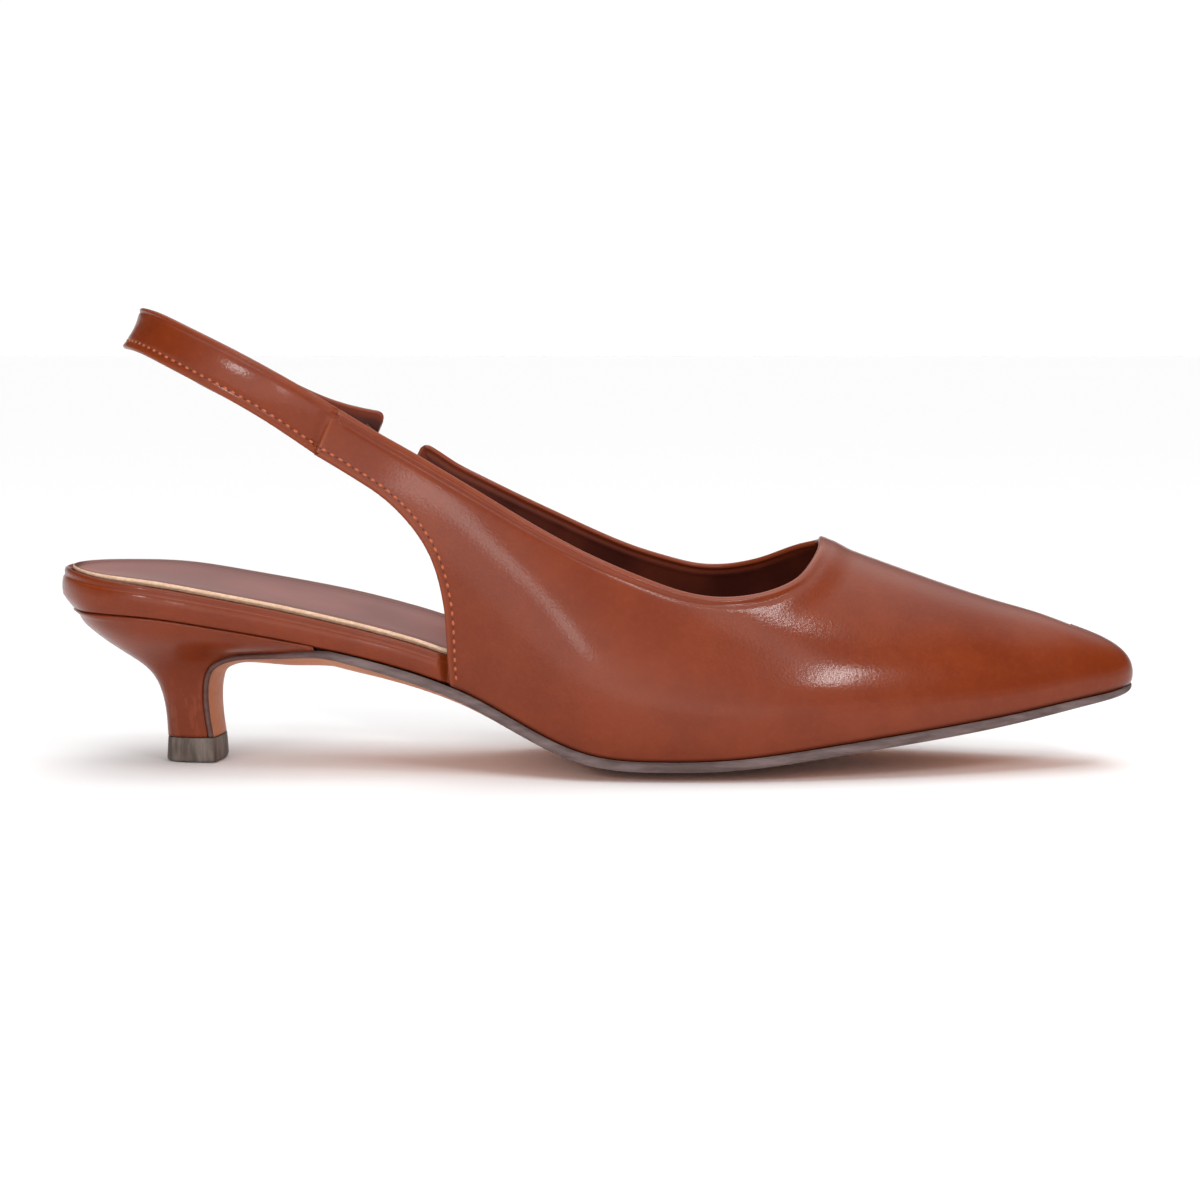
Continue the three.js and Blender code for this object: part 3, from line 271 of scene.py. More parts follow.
def around(rows, read):
    """Curve round the whole outline: 0 at the toe, negative on the outer side, running on past the back."""
    last = len(rows) - 1
    knots = list(range(-last - 3, last + 4))
    over = [abs(k) > last for k in knots]
    return Curve(knots, [
        read(rows[2 * last - abs(k) if past else abs(k)], 1 if (k < 0) == past else -1)
        for k, past in zip(knots, over)
    ])


def along(rows, column, scale=1.0):
    return Curve(range(len(rows)), [row[column] * scale for row in rows])


plan_x = around(SECTIONS, lambda r, side: r[0] * LENGTH - HEEL_SETBACK)
plan_y = around(SECTIONS, lambda r, side: side * BALL_WIDTH * (r[1] if side < 0 else r[2]))
edge_rise = around(SECTIONS, lambda r, side: EDGE_HEIGHT + r[3] * TOE_SPRING + r[4] * SEAT_RISE)
crown_of = around(SECTIONS, lambda r, side: r[5] * SOLE_CROWN)
wall_of = around(SECTIONS, lambda r, side: r[6] * FOOTBED_WALL)
twist_of = around(SECTIONS, lambda r, side: r[7] * WAIST_TWIST)


def inside_upper(k):
    return smooth(CORNER + COVER_END - np.abs(k), 0, COVER_END - COVER_START)


def plan(k, inset):
    k = np.asarray(k, float)
    dx = plan_x(k + 0.01) - plan_x(k - 0.01)
    dy = plan_y(k + 0.01) - plan_y(k - 0.01)
    size = np.hypot(dx, dy)
    nx, ny = dy / size, -dx / size
    return plan_x(k) - nx * inset, plan_y(k) - ny * inset, nx, ny


def edge_height(s, across):
    return edge_rise(s) + twist_of(s) * (across + 1) / 2


# Points and directions
def unit(v):
    return v / np.maximum(np.linalg.norm(v, axis=-1, keepdims=True), 1e-9)


def arc(points):
    return np.concatenate([[0], np.cumsum(np.linalg.norm(np.diff(points, axis=0), axis=1))])


def grid_normals(p):
    """Normals of a grid of points, row direction crossed with column direction."""
    return unit(np.cross(np.gradient(p, axis=0), np.gradient(p, axis=1)))


def half_round(centre, arm, bulge):
    """Rows of points round half a circle, from centre + arm over centre + bulge to centre - arm."""
    turn = [math.pi * step / 10 for step in range(11)]
    return np.array([centre + math.cos(angle) * arm + math.sin(angle) * bulge for angle in turn])


def new_object(name, data):
    thing = bpy.data.objects.new(name, data)
    bpy.context.scene.collection.objects.link(thing)
    return thing


class Build:
    """Collects grids of points in millimetres and turns them into one object in metres."""

    def __init__(self, *fields):
        self.points, self.faces, self.slots = [], [], []
        self.fields = {name: [] for name in fields}
        self.count = 0

    def add(self, p, slot=0, flip=False, close=False, **fields):
        """Adds a grid of points; close joins its last column to the first."""
        p = np.asarray(p, float)
        rows, columns = p.shape[:2]
        index = np.arange(rows * columns).reshape(rows, columns) + self.count
        self.count += rows * columns
        self.points.append(p.reshape(-1, 3))
        for name, values in self.fields.items():
            values.append(np.broadcast_to(np.asarray(fields[name], float), (rows, columns)).reshape(-1))
        if close:
            index = np.concatenate([index, index[:, :1]], axis=1)
        corners = [index[:-1, :-1], index[:-1, 1:], index[1:, 1:], index[1:, :-1]]
        quads = np.stack(corners[::-1] if flip else corners, axis=-1).reshape(-1, 4)
        self.faces.append(quads)
        self.slots.append(np.full(len(quads), slot))

    def cap(self, ring, flip, **fields):
        """Closes a ring of points with a fan round its middle."""
        middle = np.repeat(ring.mean(axis=0)[None], len(ring), axis=0)
        self.add([ring, middle], 0, flip, close=True, **fields)

    def make(self, name, materials):
        mesh = bpy.data.meshes.new(name)
        points = np.concatenate(self.points) * MM
        mesh.from_pydata(points.tolist(), [], np.concatenate(self.faces).tolist())
        mesh.polygons.foreach_set("material_index", np.concatenate(self.slots).astype(np.int32))
        for field, values in self.fields.items():
            layer = mesh.attributes.new(field, "FLOAT", "POINT")
            layer.data.foreach_set("value", np.concatenate(values).astype(np.float32))
        work = bmesh.new()
        work.from_mesh(mesh)
        bmesh.ops.remove_doubles(work, verts=work.verts, dist=MERGE * MM)
        bmesh.ops.dissolve_degenerate(work, edges=work.edges, dist=1e-8)
        work.to_mesh(mesh)
        work.free()
        mesh.polygons.foreach_set("use_smooth", np.ones(len(mesh.polygons), dtype=bool))
        for material in materials:
            mesh.materials.append(material)
        return new_object(name, mesh)


# The last's surface
last_x = along(LAST_SECTIONS, 0, LENGTH)
last_rise = Curve(
    range(len(LAST_SECTIONS)),
    [r[1] * TOE_HEIGHT + r[2] * INSTEP_HEIGHT + r[3] * ANKLE_HEIGHT for r in LAST_SECTIONS],
)
last_y = along(LAST_SECTIONS, 4, BALL_WIDTH)
last_lift = along(LAST_SECTIONS, 7)
last_bulge = {-1: along(LAST_SECTIONS, 5, BALL_WIDTH), 1: along(LAST_SECTIONS, 6, BALL_WIDTH)}
last_spread = {-1: along(LAST_SECTIONS, 8), 1: along(LAST_SECTIONS, 9)}
SLOPE_STEP = 2.5


def ridge_height(s):
    return edge_rise(s) + GAP + last_rise(s)


def ridge_slope(s):
    ahead = np.maximum(0, s - SLOPE_STEP)
    behind = s + SLOPE_STEP
    return (ridge_height(behind) - ridge_height(ahead)) / (last_x(behind) - last_x(ahead))


def last_point(s, side, up):
    s, up = np.broadcast_arrays(np.asarray(s, float), np.asarray(up, float))
    fx, fy, nx, ny = plan(side * s, 0)
    fz = edge_height(s, side) + GAP
    tx = last_x(s) - HEEL_SETBACK
    ty = last_y(s)
    tz = ridge_height(s)
    bulge = last_bulge[side](s)
    spread = last_spread[side](s)
    foot = np.stack([fx, fy, fz], -1)
    start = np.stack([fx + nx * bulge, fy + ny * bulge, lerp(fz, tz, last_lift(s))], -1)
    sx = lerp(tx, fx, spread)
    shoulder = np.stack([sx, lerp(ty, fy, spread), tz + ridge_slope(s) * (sx - tx)], -1)
    top = np.stack([tx, ty, tz], -1)
    u = up[..., None]
    v = 1 - u
    return foot * v**3 + 3 * start * v * v * u + 3 * shoulder * v * u * u + top * u**3


def last_normal(s, side, up):
    s = np.maximum(s, 0.15)
    up = np.minimum(up, 0.99)
    ds = last_point(s + 0.02, side, up) - last_point(s - 0.02, side, up)
    du = last_point(s, side, np.minimum(up + 0.004, 1)) - last_point(s, side, np.maximum(up - 0.004, 0))
    return unit(np.cross(ds, du)) * side


def find(low, high, value, read):
    rising = read(high) > read(low)
    for _ in range(40):
        middle = (low + high) / 2
        if (read(middle) < value) == rising:
            low = middle
        else:
            high = middle
    return (low + high) / 2


def place_on_last(side, row):
    x = row[0] * LENGTH - HEEL_SETBACK
    s = find(4, len(LAST_SECTIONS) - 1, x, lambda at: last_x(at) - HEEL_SETBACK)
    low = last_point(s, side, 0)[2]
    high = last_point(s, side, 1)[2]
    return s, find(0, 1, lerp(low, high, row[1]), lambda up: last_point(s, side, up)[2])


def line_on_last(side, places, before):
    every = [(s, 2 - up, last_point(s, -side, up)) for s, up in before][::-1]
    every += [(s, up, last_point(s, side, up)) for s, up in places]
    reach = arc(np.array([e[2] for e in every]))
    first = reach[len(before)]
    size = reach[-1] - first
    s_of = Curve(reach, [e[0] for e in every])
    up_of = Curve(reach, [e[1] for e in every])
    return lambda share: (s_of(first + share * size), up_of(first + share * size))


THROAT = find(4, 9, THROAT_X * LENGTH - HEEL_SETBACK, lambda at: last_x(at) - HEEL_SETBACK)
TOE_COLUMNS = 15
FOOT_COLUMNS = 29
COLUMNS = 42
TURN = 0.56

COLUMN_STOPS = np.concatenate([
    np.linspace(*part) for part in ((0, 13.5, 55), (13.6, 17, 35), (17.2, 29, 60), (29.2, 42, 65))
])
TOP_STOPS = np.array([0, 0.3, 0.6, 0.9, 1.2, 1.5, 1.8, 2.1, 2.4, 2.8, 3.2, 3.7, 4.3])
LOW_STOPS = np.array([0, 0.25, 0.5, 0.8, 1.1, 1.5, 2.0, 2.6, 3.3, 4.2])
MIDDLE_ROWS = 24
FAR = 99


def upper_side(side):
    """Section numbers, shares of the way up and lengths along each column of one side of the upper."""
    throat = (THROAT, 1.0)
    mirrored = [place_on_last(-side, row) for row in TOPLINE[-side][:3]]
    top = line_on_last(side, [throat] + [place_on_last(side, row) for row in TOPLINE[side]], mirrored)
    back = line_on_last(side, [place_on_last(side, row) for row in BACK_EDGE[side]], [])
    corner = float(back(0)[0])
    c = COLUMN_STOPS
    ahead = np.clip(c - TOE_COLUMNS, 0, None) / (FOOT_COLUMNS - TOE_COLUMNS)
    behind = np.clip((c - FOOT_COLUMNS) / (COLUMNS - FOOT_COLUMNS), 0, None)
    share = np.where(c < FOOT_COLUMNS, TURN * ahead, lerp(TURN, 1, behind))
    top_s, top_up = top(np.clip(share, 0, 1))
    toe = c <= TOE_COLUMNS
    high_s = np.where(toe, THROAT * c / TOE_COLUMNS, top_s)
    high_up = np.where(toe, 1, top_up)
    back_s, back_up = back(behind)
    foot = c <= FOOT_COLUMNS
    low_s = np.where(toe, THROAT * c / TOE_COLUMNS, np.where(foot, lerp(THROAT, corner, ahead), back_s))
    low_up = np.where(foot, 0, back_up)

    def places(t):
        return lerp(low_s[:, None], high_s[:, None], t), lerp(low_up[:, None], high_up[:, None], t)

    even = np.linspace(0, 1, 181)
    s, up = places(even)
    steps = np.linalg.norm(np.diff(last_point(s, side, up), axis=1), axis=2)
    length = np.concatenate([np.zeros((len(c), 1)), np.cumsum(steps, axis=1)], axis=1)
    rows = []
    for i in range(len(c)):
        total = length[i, -1]
        middle = np.linspace(LOW_STOPS[-1], total - TOP_STOPS[-1], MIDDLE_ROWS + 2)[1:-1]
        stops = np.concatenate([LOW_STOPS, middle, total - TOP_STOPS[::-1]])
        rows.append(np.interp(stops, length[i], even))
    fall = np.array([np.interp(rows[i], even, length[i]) for i in range(len(c))])
    return (*places(np.array(rows)), fall)


def nearest_on(line, values, p):
    """Distance of each point of p to a line of points, and the line's values there."""
    flat = p.reshape(-1, 3)
    best = np.full(len(flat), 1e9)
    carried = np.zeros((len(flat), values.shape[1]))
    a, b = line[:-1], line[1:]
    run = b - a
    size = np.maximum((run**2).sum(1), 1e-12)
    for k in range(len(a)):
        share = np.clip(((flat - a[k]) @ run[k]) / size[k], 0, 1)
        far = np.linalg.norm(flat - (a[k] + share[:, None] * run[k]), axis=1)
        closer = far < best
        best[closer] = far[closer]
        carried[closer] = lerp(values[k], values[k + 1], share[closer, None])
    return best.reshape(p.shape[:-1]), carried.reshape(p.shape[:-1] + (values.shape[1],))


def make_upper(leather, lining):
    grids, normals, falls, feet = {}, {}, {}, {}
    for side in (-1, 1):
        s, up, fall = upper_side(side)
        grids[side] = last_point(s, side, up)
        feet[side] = edge_height(s, side) + GAP
        normals[side] = last_normal(s, side, up)
        falls[side] = fall
    first = int(np.argmin(abs(COLUMN_STOPS - FOOT_COLUMNS)))
    throat = int(np.argmin(abs(COLUMN_STOPS - TOE_COLUMNS)))
    edge, edge_normal = [], []
    for side in (-1, 1):
        for grid, lines in ((grids[side], edge), (normals[side], edge_normal)):
            line = np.concatenate([grid[first:, 0], grid[-1, 1:], grid[-2:throat - 1:-1, -1]])
            lines.append(line if side < 0 else line[::-1][1:])
    edge = np.concatenate(edge)
    edge_normal = np.concatenate(edge_normal)
    away = unit(np.cross(edge_normal, np.gradient(edge, axis=0)))
    build = Build("edge", "foot")
    rear = len(COLUMN_STOPS) - first + grids[1].shape[1] - 1
    bead = np.zeros(len(edge))
    bead[rear:len(edge) - rear] = 1
    behind_throat = edge[:, 0].max() - edge[:, 0]
    bead *= 1 - 0.85 * smooth(-behind_throat, -16, -4)
    lift = THROAT_PUFF * smooth(-behind_throat, -16, -3)
    marks = np.column_stack([away, bead, lift])
    ear = grids[1][-1, -1]
    along_top = unit(grids[1][-4, -1] - ear)
    along_end = unit(grids[1][-1, -9] - ear)

    def rounded(p):
        """Rounds the corner of the inner quarter's end, where two edges meet."""
        u, v = (p - ear) @ along_top / EAR_ROUND, (p - ear) @ along_end / EAR_ROUND
        near = (u < 1) & (v < 1) & (np.linalg.norm(p - ear, axis=-1) < 3 * EAR_ROUND)
        a, b = np.clip(1 - u, 0, 1.2), np.clip(1 - v, 0, 1.2)
        du, dv = a - a * np.sqrt(1 - b * b / 2), b - b * np.sqrt(1 - a * a / 2)
        shift = du[..., None] * along_top + dv[..., None] * along_end
        return p + EAR_ROUND * shift * near[..., None]

    c = COLUMN_STOPS[:, None]
    for side in (-1, 1):
        g, n = grids[side], normals[side]
        far, near = nearest_on(edge, marks, g)
        out = g - near[..., :3] * (EDGE_ROLL * np.clip(1 - far / 6, 0, 1))[..., None]
        above = g[..., 2] - feet[side]
        out[..., 2] -= (GAP - 0.03) * np.clip(1 - above / 1.2, 0, 1)
        out[..., 2] += near[..., 4] * (1 - smooth(far, 3, 9))
        roll = BEAD_HEIGHT * (1 - smooth(abs(far - 0.9), 0, 0.9))
        roll -= BEAD_GROOVE * (1 - smooth(abs(far - 2.3), 0, 0.9))
        out += n * (near[..., 3] * roll)[..., None]
        tuck = np.clip(1 - falls[side] / 1.4, 0, 1) ** 2 * 0.4 * np.clip((FOOT_COLUMNS - c) * 2, 0, 1)
        flat = unit(n * np.array([1, 1, 0]))
        out = out - flat * tuck[..., None]
        wall = lerp(2 * EDGE_ROLL, UPPER_WALL, smooth(far, 1, 12))
        inner = out - n * wall[..., None]
        if side > 0:
            out, inner = rounded(out), rounded(inner)
        foot = np.where(c <= FOOT_COLUMNS, falls[side], FAR)
        build.add(out, 0, side > 0, edge=far, foot=foot)
        build.add(inner, 1, side < 0, edge=far, foot=foot)
        low = np.stack([out[: first + 1, 0], inner[: first + 1, 0]], axis=1)
        build.add(low, 1, side < 0, edge=FAR, foot=0)
    back = edge - (away + edge_normal) * EDGE_ROLL + np.array([0, 0, 1]) * lift[:, None]
    rim = half_round(back, edge_normal * EDGE_ROLL, away * EDGE_ROLL)
    build.add(rounded(rim), 0, False, edge=0, foot=FAR)
    piece = build.make("upper_shell", [leather, lining])
    return piece, edge - away * EDGE_ROLL, edge_normal, away, len(COLUMN_STOPS) - first


# Outsole
SOLE_ROWS = [
    (
        r[0] * LENGTH - HEEL_SETBACK, r[1] * BALL_WIDTH, r[2] * BALL_WIDTH,
        EDGE_HEIGHT + r[3] * TOE_SPRING + r[4] * SEAT_RISE, r[5] * SOLE_CROWN, r[7] * WAIST_TWIST, 0,
    )
    for r in SECTIONS[: SHANK_END + 1]
] + [
    (
        r[0] * BREAST_REACH, r[2] * TIP_WIDTH, r[3] * TIP_WIDTH,
        TIP_HEIGHT + GAP + r[1] * (EDGE_HEIGHT + SECTIONS[SHANK_END][4] * SEAT_RISE - TIP_HEIGHT),
        r[4] * BREAST_CROWN, 0, r[5] * HEEL_TWIST,
    )
    for r in BREAST_SECTIONS
]
SOLE_END = len(SOLE_ROWS) - 1
AHEAD = [plan_x, lambda at: -plan_y(-at), plan_y, edge_rise, crown_of, twist_of, lambda at: at * 0]
BEHIND = [along(SOLE_ROWS, column) for column in range(7)]
EDGE_ROUND = 0.7


def sole_value(column, s):
    s = np.asarray(s, float)
    return np.where(s <= SHANK_END, AHEAD[column](np.minimum(s, SHANK_END)), BEHIND[column](s))


def sole_point(s, across, lift, shift=0.0):
    s, across = np.broadcast_arrays(np.asarray(s, float), np.asarray(across, float))
    half = np.where(across < 0, sole_value(1, s), sole_value(2, s))
    low = np.maximum(SHANK_END, s - 0.02)
    high = np.minimum(SOLE_END, np.maximum(s, SHANK_END) + 0.02)
    dx = BEHIND[0](high) - BEHIND[0](low)
    dz = BEHIND[3](high) - BEHIND[3](low)
    size = np.hypot(dx, dz)
    bend = smooth(s, SHANK_END, SHANK_END + 1.5)
    down_x = lerp(0, -dz / size, bend)
    down_z = lerp(-1, dx / size, bend)
    ending = 1 - smooth(s, SHANK_END - 1, SHANK_END + 1)
    margin = SOLE_MARGIN * ending * lerp(-TOE_SET_BACK, 1, smooth(s, 0, 1.8)) + shift
    ex, ey, ahead, _ = plan(np.where(across < 0, -s, s), -margin)
    rim_x = np.where(s <= SHANK_END, ex, sole_value(0, s))
    rim_y = np.where(s <= SHANK_END, ey, np.sign(across) * (half + margin))
    y = rim_y * np.abs(across)
    fall = sole_value(4, s) * (1 - across * across) - lift
    x = lerp(sole_value(0, s) + margin * ahead * (1 - smooth(s, 1, 3)), rim_x, np.abs(across))
    return np.stack([
        x + down_x * fall + y * sole_value(6, s),
        y,
        sole_value(3, s) + sole_value(5, s) * (across + 1) / 2 + down_z * fall,
    ], -1)


def make_outsole(under, painted):
    s = np.unique(np.concatenate([
        np.linspace(0, 1, 16), np.linspace(1, 13, 73), np.linspace(13, SOLE_END, 120),
    ]))
    across = np.linspace(-1, 1, 33)
    grid = sole_point(s[:, None], across[None, :], 0, -EDGE_ROUND)
    normal = grid_normals(grid)
    normal[0] = unit(normal[1].mean(axis=0))
    normal[:, [0, -1]] = normal[:, [1, -2]]
    thin = smooth(s, SHANK_END - 2, SHANK_END + 2)[:, None]
    depth = lerp(SOLE_THICKNESS, BREAST_THICKNESS, thin) * lerp(TOE_THIN, 1, smooth(s, 0, 5.5))[:, None]

    def lower(p, n):
        q = p + n * np.array([-1, -0.3, -1]) * depth[..., None] * sign
        q[-1, :, 2] = p[-1, :, 2]
        q[..., 2] = np.maximum(q[..., 2], 0)
        return q

    sign = 1 if normal[40, 16, 2] > 0 else -1
    bottom = lower(grid, normal)
    build = Build("edge")
    wide = np.linalg.norm(grid - grid[:, :1], axis=2)
    edge = np.minimum(wide, wide[:, ::-1])
    build.add(grid, 0, False, edge=edge)
    build.add(bottom, 0, True, edge=edge)
    full = sole_point(s[:, None], across[None, :], 0)
    under_full = lower(full, normal)

    def loop(p):
        return np.concatenate([p[::-1, 0], p[1:, -1], p[-1, -2:0:-1]])

    a, b, c, d = loop(grid), loop(full), loop(under_full), loop(bottom)
    rings = [
        lerp(lerp(a, d, share), lerp(b, c, share), 1 - abs(2 * share - 1) ** 3)
        for share in np.linspace(0, 1, 13)
    ]
    build.add(rings, 1, False, close=True, edge=0)
    return build.make("outsole_leather", [under, painted])


# Footbed and sock
STATIONS = np.unique(np.concatenate([
    np.linspace(0, 1, 13), np.linspace(1, 12, 56), np.linspace(12, 12.5, 12), np.linspace(12.5, 18, 56),
    np.linspace(18, BACK, 33), [CORNER + COVER_START, CORNER + COVER_END],
]))


def footbed_inset(s):
    return (UPPER_WALL + GAP) * inside_upper(s)


def footbed_top(s, across):
    dish = lerp(SEAT_DISH, crown_of(s), inside_upper(s) * smooth(CORNER - s, 0, 3))
    return edge_height(s, across) + wall_of(s) - dish * (1 - across * across)


def footbed_bottom(s, across):
    return edge_height(s, across) + GAP - crown_of(s) * (1 - across * across)


def tuck_rear(p, lip=0.0):
    """Draws the seam between footbed and heel in at the back, where the cover runs on over both."""
    q = np.array(p)
    off = abs(q[..., 2] - EDGE_HEIGHT - SEAT_RISE)
    depth = REAR_TUCK * (1 - smooth(off, 0, REAR_TUCK_REACH)) + lip * (1 - smooth(off, 0, 2.0))
    q[..., 0] += depth * smooth(-q[..., 0], HEEL_SETBACK - 12, HEEL_SETBACK - 1)
    return q


def slab(inset, height):
    """Grid over the footbed's outline: height(s, across) at each station and step across."""
    s = STATIONS[:, None]
    t = np.linspace(0, 1, 25)[None, :]
    ax, ay, _, _ = plan(-s, inset(s))
    bx, by, _, _ = plan(s, inset(s))
    ends = (s == 0) | (s == BACK)
    across = np.where(ends, 1.0, 2 * t - 1)
    return np.stack([lerp(ax, bx, t), lerp(ay, by, t), height(s + 0 * t, across)], -1)


def outline(inset, height):
    """Loop of points round the outline, outer side from the toe back and inner side forward again."""
    k = np.concatenate([-STATIONS, STATIONS[-2:0:-1]])
    x, y, _, _ = plan(k, inset(np.abs(k)))
    return np.stack([x, y, height(np.abs(k), np.sign(k))], -1)


def make_footbed(leather):
    profile = [
        (0.0, -0.55), (0.02, -0.3), (0.05, -0.1), (0.1, 0.05), (0.2, 0.3), (0.35, 0.5), (0.5, 0.58),
        (0.62, 0.5), (0.70, 0.38), (0.745, 0.26), (0.765, 0.12), (0.785, -0.06), (0.81, -0.12),
        (0.86, -0.08), (0.92, -0.1), (0.96, -0.25), (0.985, -0.5), (1.0, -0.8),
    ]

    def inset_by(depth):
        return lambda s: footbed_inset(s) + depth * (1 - inside_upper(s))

    def height(share):
        rim = REAR_RIM * smooth(share, 0.1, 0.98)

        def at(s, side):
            flat = lerp(footbed_bottom(s, side), footbed_top(s, side), share)
            return flat + rim * smooth(s, BACK - 3.5, BACK - 0.5)

        return at

    rings = [outline(inset_by(-push), height(share)) for share, push in profile]
    rings.append(outline(inset_by(RIM_INSET), footbed_top))
    marks = np.array([share for share, _ in profile] + [1.0])[:, None]
    build = Build("edge")
    build.add(tuck_rear(rings), 0, True, close=True, edge=marks)
    build.add(tuck_rear(slab(inset_by(SEAM_INSET), footbed_bottom)), 0, True, edge=0)
    build.add(slab(inset_by(RIM_INSET), footbed_top), 0, False, edge=1)
    return build.make("footbed_wrap", [leather])


def make_sock(lining, cut):
    def inset(s):
        back = SOCK_SETBACK * smooth(s, BACK - 3.5, BACK)
        return footbed_inset(s) + lerp(SOCK_INSET, GAP, inside_upper(s)) + back

    def height(share):
        return lambda s, across: footbed_top(s, across) + GAP * 0.3 + share * (SOCK_THICKNESS + GAP * 0.7)

    build = Build("edge")
    profile = [
        (0.0, -0.6), (0.3, -0.5), (0.38, -0.12), (0.46, 0.0),
        (0.65, 0.02), (0.84, -0.03), (0.95, -0.18), (1.0, -0.42),
    ]
    rings = [outline(lambda s: inset(s) - push, height(share)) for share, push in profile]
    build.add(rings[:7], 1, True, close=True, edge=0)
    build.add(rings[6:], 0, True, close=True, edge=0)
    top = slab(lambda s: inset(s) + 0.42, height(1.0))
    wide = [np.linalg.norm(top - rim, axis=2) for rim in (top[:, :1], top[:, -1:])]
    build.add(top, 0, False, edge=np.minimum(*wide))
    build.add(slab(lambda s: inset(s) + 0.6, height(0.0)), 1, True, edge=0)
    return build.make("sock_lining", [lining, cut])


# Heel and top piece
LIP = find(SHANK_END - 1, SHANK_END + 2, LIP_REACH, plan_x)
HEEL_SIDE = 14
TIP_REACH = 0.75
TIP_SIDE = 0.62


def tip_curve(i):
    """Shares of the way back and of the half width round one side of the heel's foot."""
    angle = math.pi / 2 * i / HEEL_SIDE
    return np.sin(angle) ** TIP_REACH, np.clip(np.cos(angle), 0, 1) ** TIP_SIDE


def make_heel(leather):
    column = [along(HEEL_RINGS, i) for i in range(6)]
    seat_height = EDGE_HEIGHT + SEAT_RISE - TIP_HEIGHT
    lip_x = float(plan_x(LIP))
    widest = max(abs(float(plan_y(side * (BACK - 3)))) for side in (-1, 1))
    parts = (0, 2, 17), (2, 12, 61), (12, HEEL_SIDE, 25)
    i = np.unique(np.concatenate([np.linspace(*part) for part in parts]))
    s = lerp(LIP, BACK, i / HEEL_SIDE)
    across = np.linspace(-1, 1, 17)

    def seam(at):
        share = (lip_x - plan_x(at)) / (lip_x + HEEL_SETBACK)
        return edge_rise(at) - lerp(edge_rise(LIP), edge_rise(BACK), share)

    def seat_ring(inset, drop):
        loops = []
        for side in (-1, 1):
            x, y, _, _ = plan(side * s, inset * smooth(i, 0, 1.5))
            loops.append(np.stack([x, y, footbed_bottom(s, side) - GAP * 0.25 - drop], -1))
        front = lerp(loops[0][0], loops[1][0], ((across + 1) / 2)[:, None])
        front[:, 2] = footbed_bottom(LIP, across) - GAP * 0.25 - drop
        return front, loops

    def ring_at(at):
        station = column[0](at)
        back_x = -column[1](at) * HEEL_SETBACK
        back_z = TIP_HEIGHT + GAP + column[2](at) * (seat_height - GAP)
        keep = column[4](at)
        loops = []
        for side in (-1, 1):
            front = sole_point(station, side, GAP * 0.3)
            seat_share = (lip_x - plan_x(side * s)) / (lip_x + HEEL_SETBACK)
            seat_wide = np.abs(plan_y(side * s)) / widest
            tip_share, tip_wide = tip_curve(i)
            share = lerp(tip_share, seat_share, keep)
            wide = lerp(tip_wide, seat_wide, keep) * column[3](at) * BALL_WIDTH
            pull = (1 - np.minimum(1, share / 0.6)) ** 2
            pull[0] = 1
            y = side * lerp(wide, abs(front[1]), pull)
            y[-1] = 0
            lean = HEEL_TWIST * (y - front[1] * (1 - share)) * (1 - keep)
            loops.append(np.stack([
                lerp(front[0], back_x, share) + lean,
                y,
                lerp(front[2], back_z, share) + column[5](at) * seam(s),
            ], -1))
        front = sole_point(station, across, GAP * 0.3)
        return front, loops

    def closed(front, loops):
        return np.concatenate([front[1:-1], loops[1], loops[0][-2::-1]])

    rings = [seat_ring(*place) for place in ((0.5, 0.0), (0.22, 0.08), (0.06, 0.25), (0.0, 0.5))]
    rings += [ring_at(at) for at in np.concatenate([np.linspace(0, 1, 12), np.linspace(1, 7, 60)[1:]])]
    build = Build("edge")
    down = np.linspace(0, 1, len(rings))[:, None]
    build.add(tuck_rear([closed(*ring) for ring in rings], HEEL_TUCK), 0, True, close=True, edge=down)
    for (front, loops), flip in ((rings[0], False), (rings[-1], True)):
        rows = [lerp(a, b, ((across + 1) / 2)[:, None]) for a, b in zip(*loops)]
        build.add(tuck_rear([front] + rows[1:], HEEL_TUCK), 0, flip, edge=0.5)
    return build.make("heel_cover", [leather])


def make_lift(rubber):
    front_x = float(sole_point(SOLE_END, 0.0, -BREAST_THICKNESS)[0])
    back_x = -HEEL_RINGS[-1][1] * HEEL_SETBACK
    i = np.linspace(0, HEEL_SIDE, 57)
    across = np.linspace(-1, 1, 17)

    def loop(grow, z):
        share, half = tip_curve(i)
        half = half * (TIP_WIDTH / 2 + grow)
        half[-1] = 0
        bow = np.full((len(i), len(across)), BREAST_CROWN * 0.7)
        bow[0] = BREAST_CROWN * 0.7 * across**2
        x = lerp(front_x + grow - bow, back_x - grow, share[:, None])
        y = half[:, None] * across
        return np.stack([x + y * HEEL_TWIST, y, np.full_like(x, z)], -1)

    def closed(p):
        return np.concatenate([p[0, 1:-1], p[:, -1], p[-2::-1, 0]])

    profile = [
        (-0.35, TIP_HEIGHT + 0.1), (-0.12, TIP_HEIGHT + 0.05),
        (-0.02, TIP_HEIGHT - 0.15), (0.02, TIP_HEIGHT - 0.5),
        (0.1, 4.2), (0.18, 2.8), (0.25, 1.4), (0.3, 0.6), (0.22, 0.25), (0.0, 0.06), (-0.3, 0.0),
    ]
    build = Build("edge")
    build.add([closed(loop(*row)) for row in profile], 0, True, close=True, edge=0)
    build.add(loop(*profile[0]), 0, False, edge=1)
    build.add(loop(*profile[-1]), 0, True, edge=1)
    return build.make("top_piece", [rubber])


# Strap and elastic
SEAM_GAP = 1.8 * GAP
CUP_ARC = 0.36 * math.pi
STRAP_CROWN = 0.5
STRAP_FACE = STRAP_THICKNESS / 2 - FACE_SINK


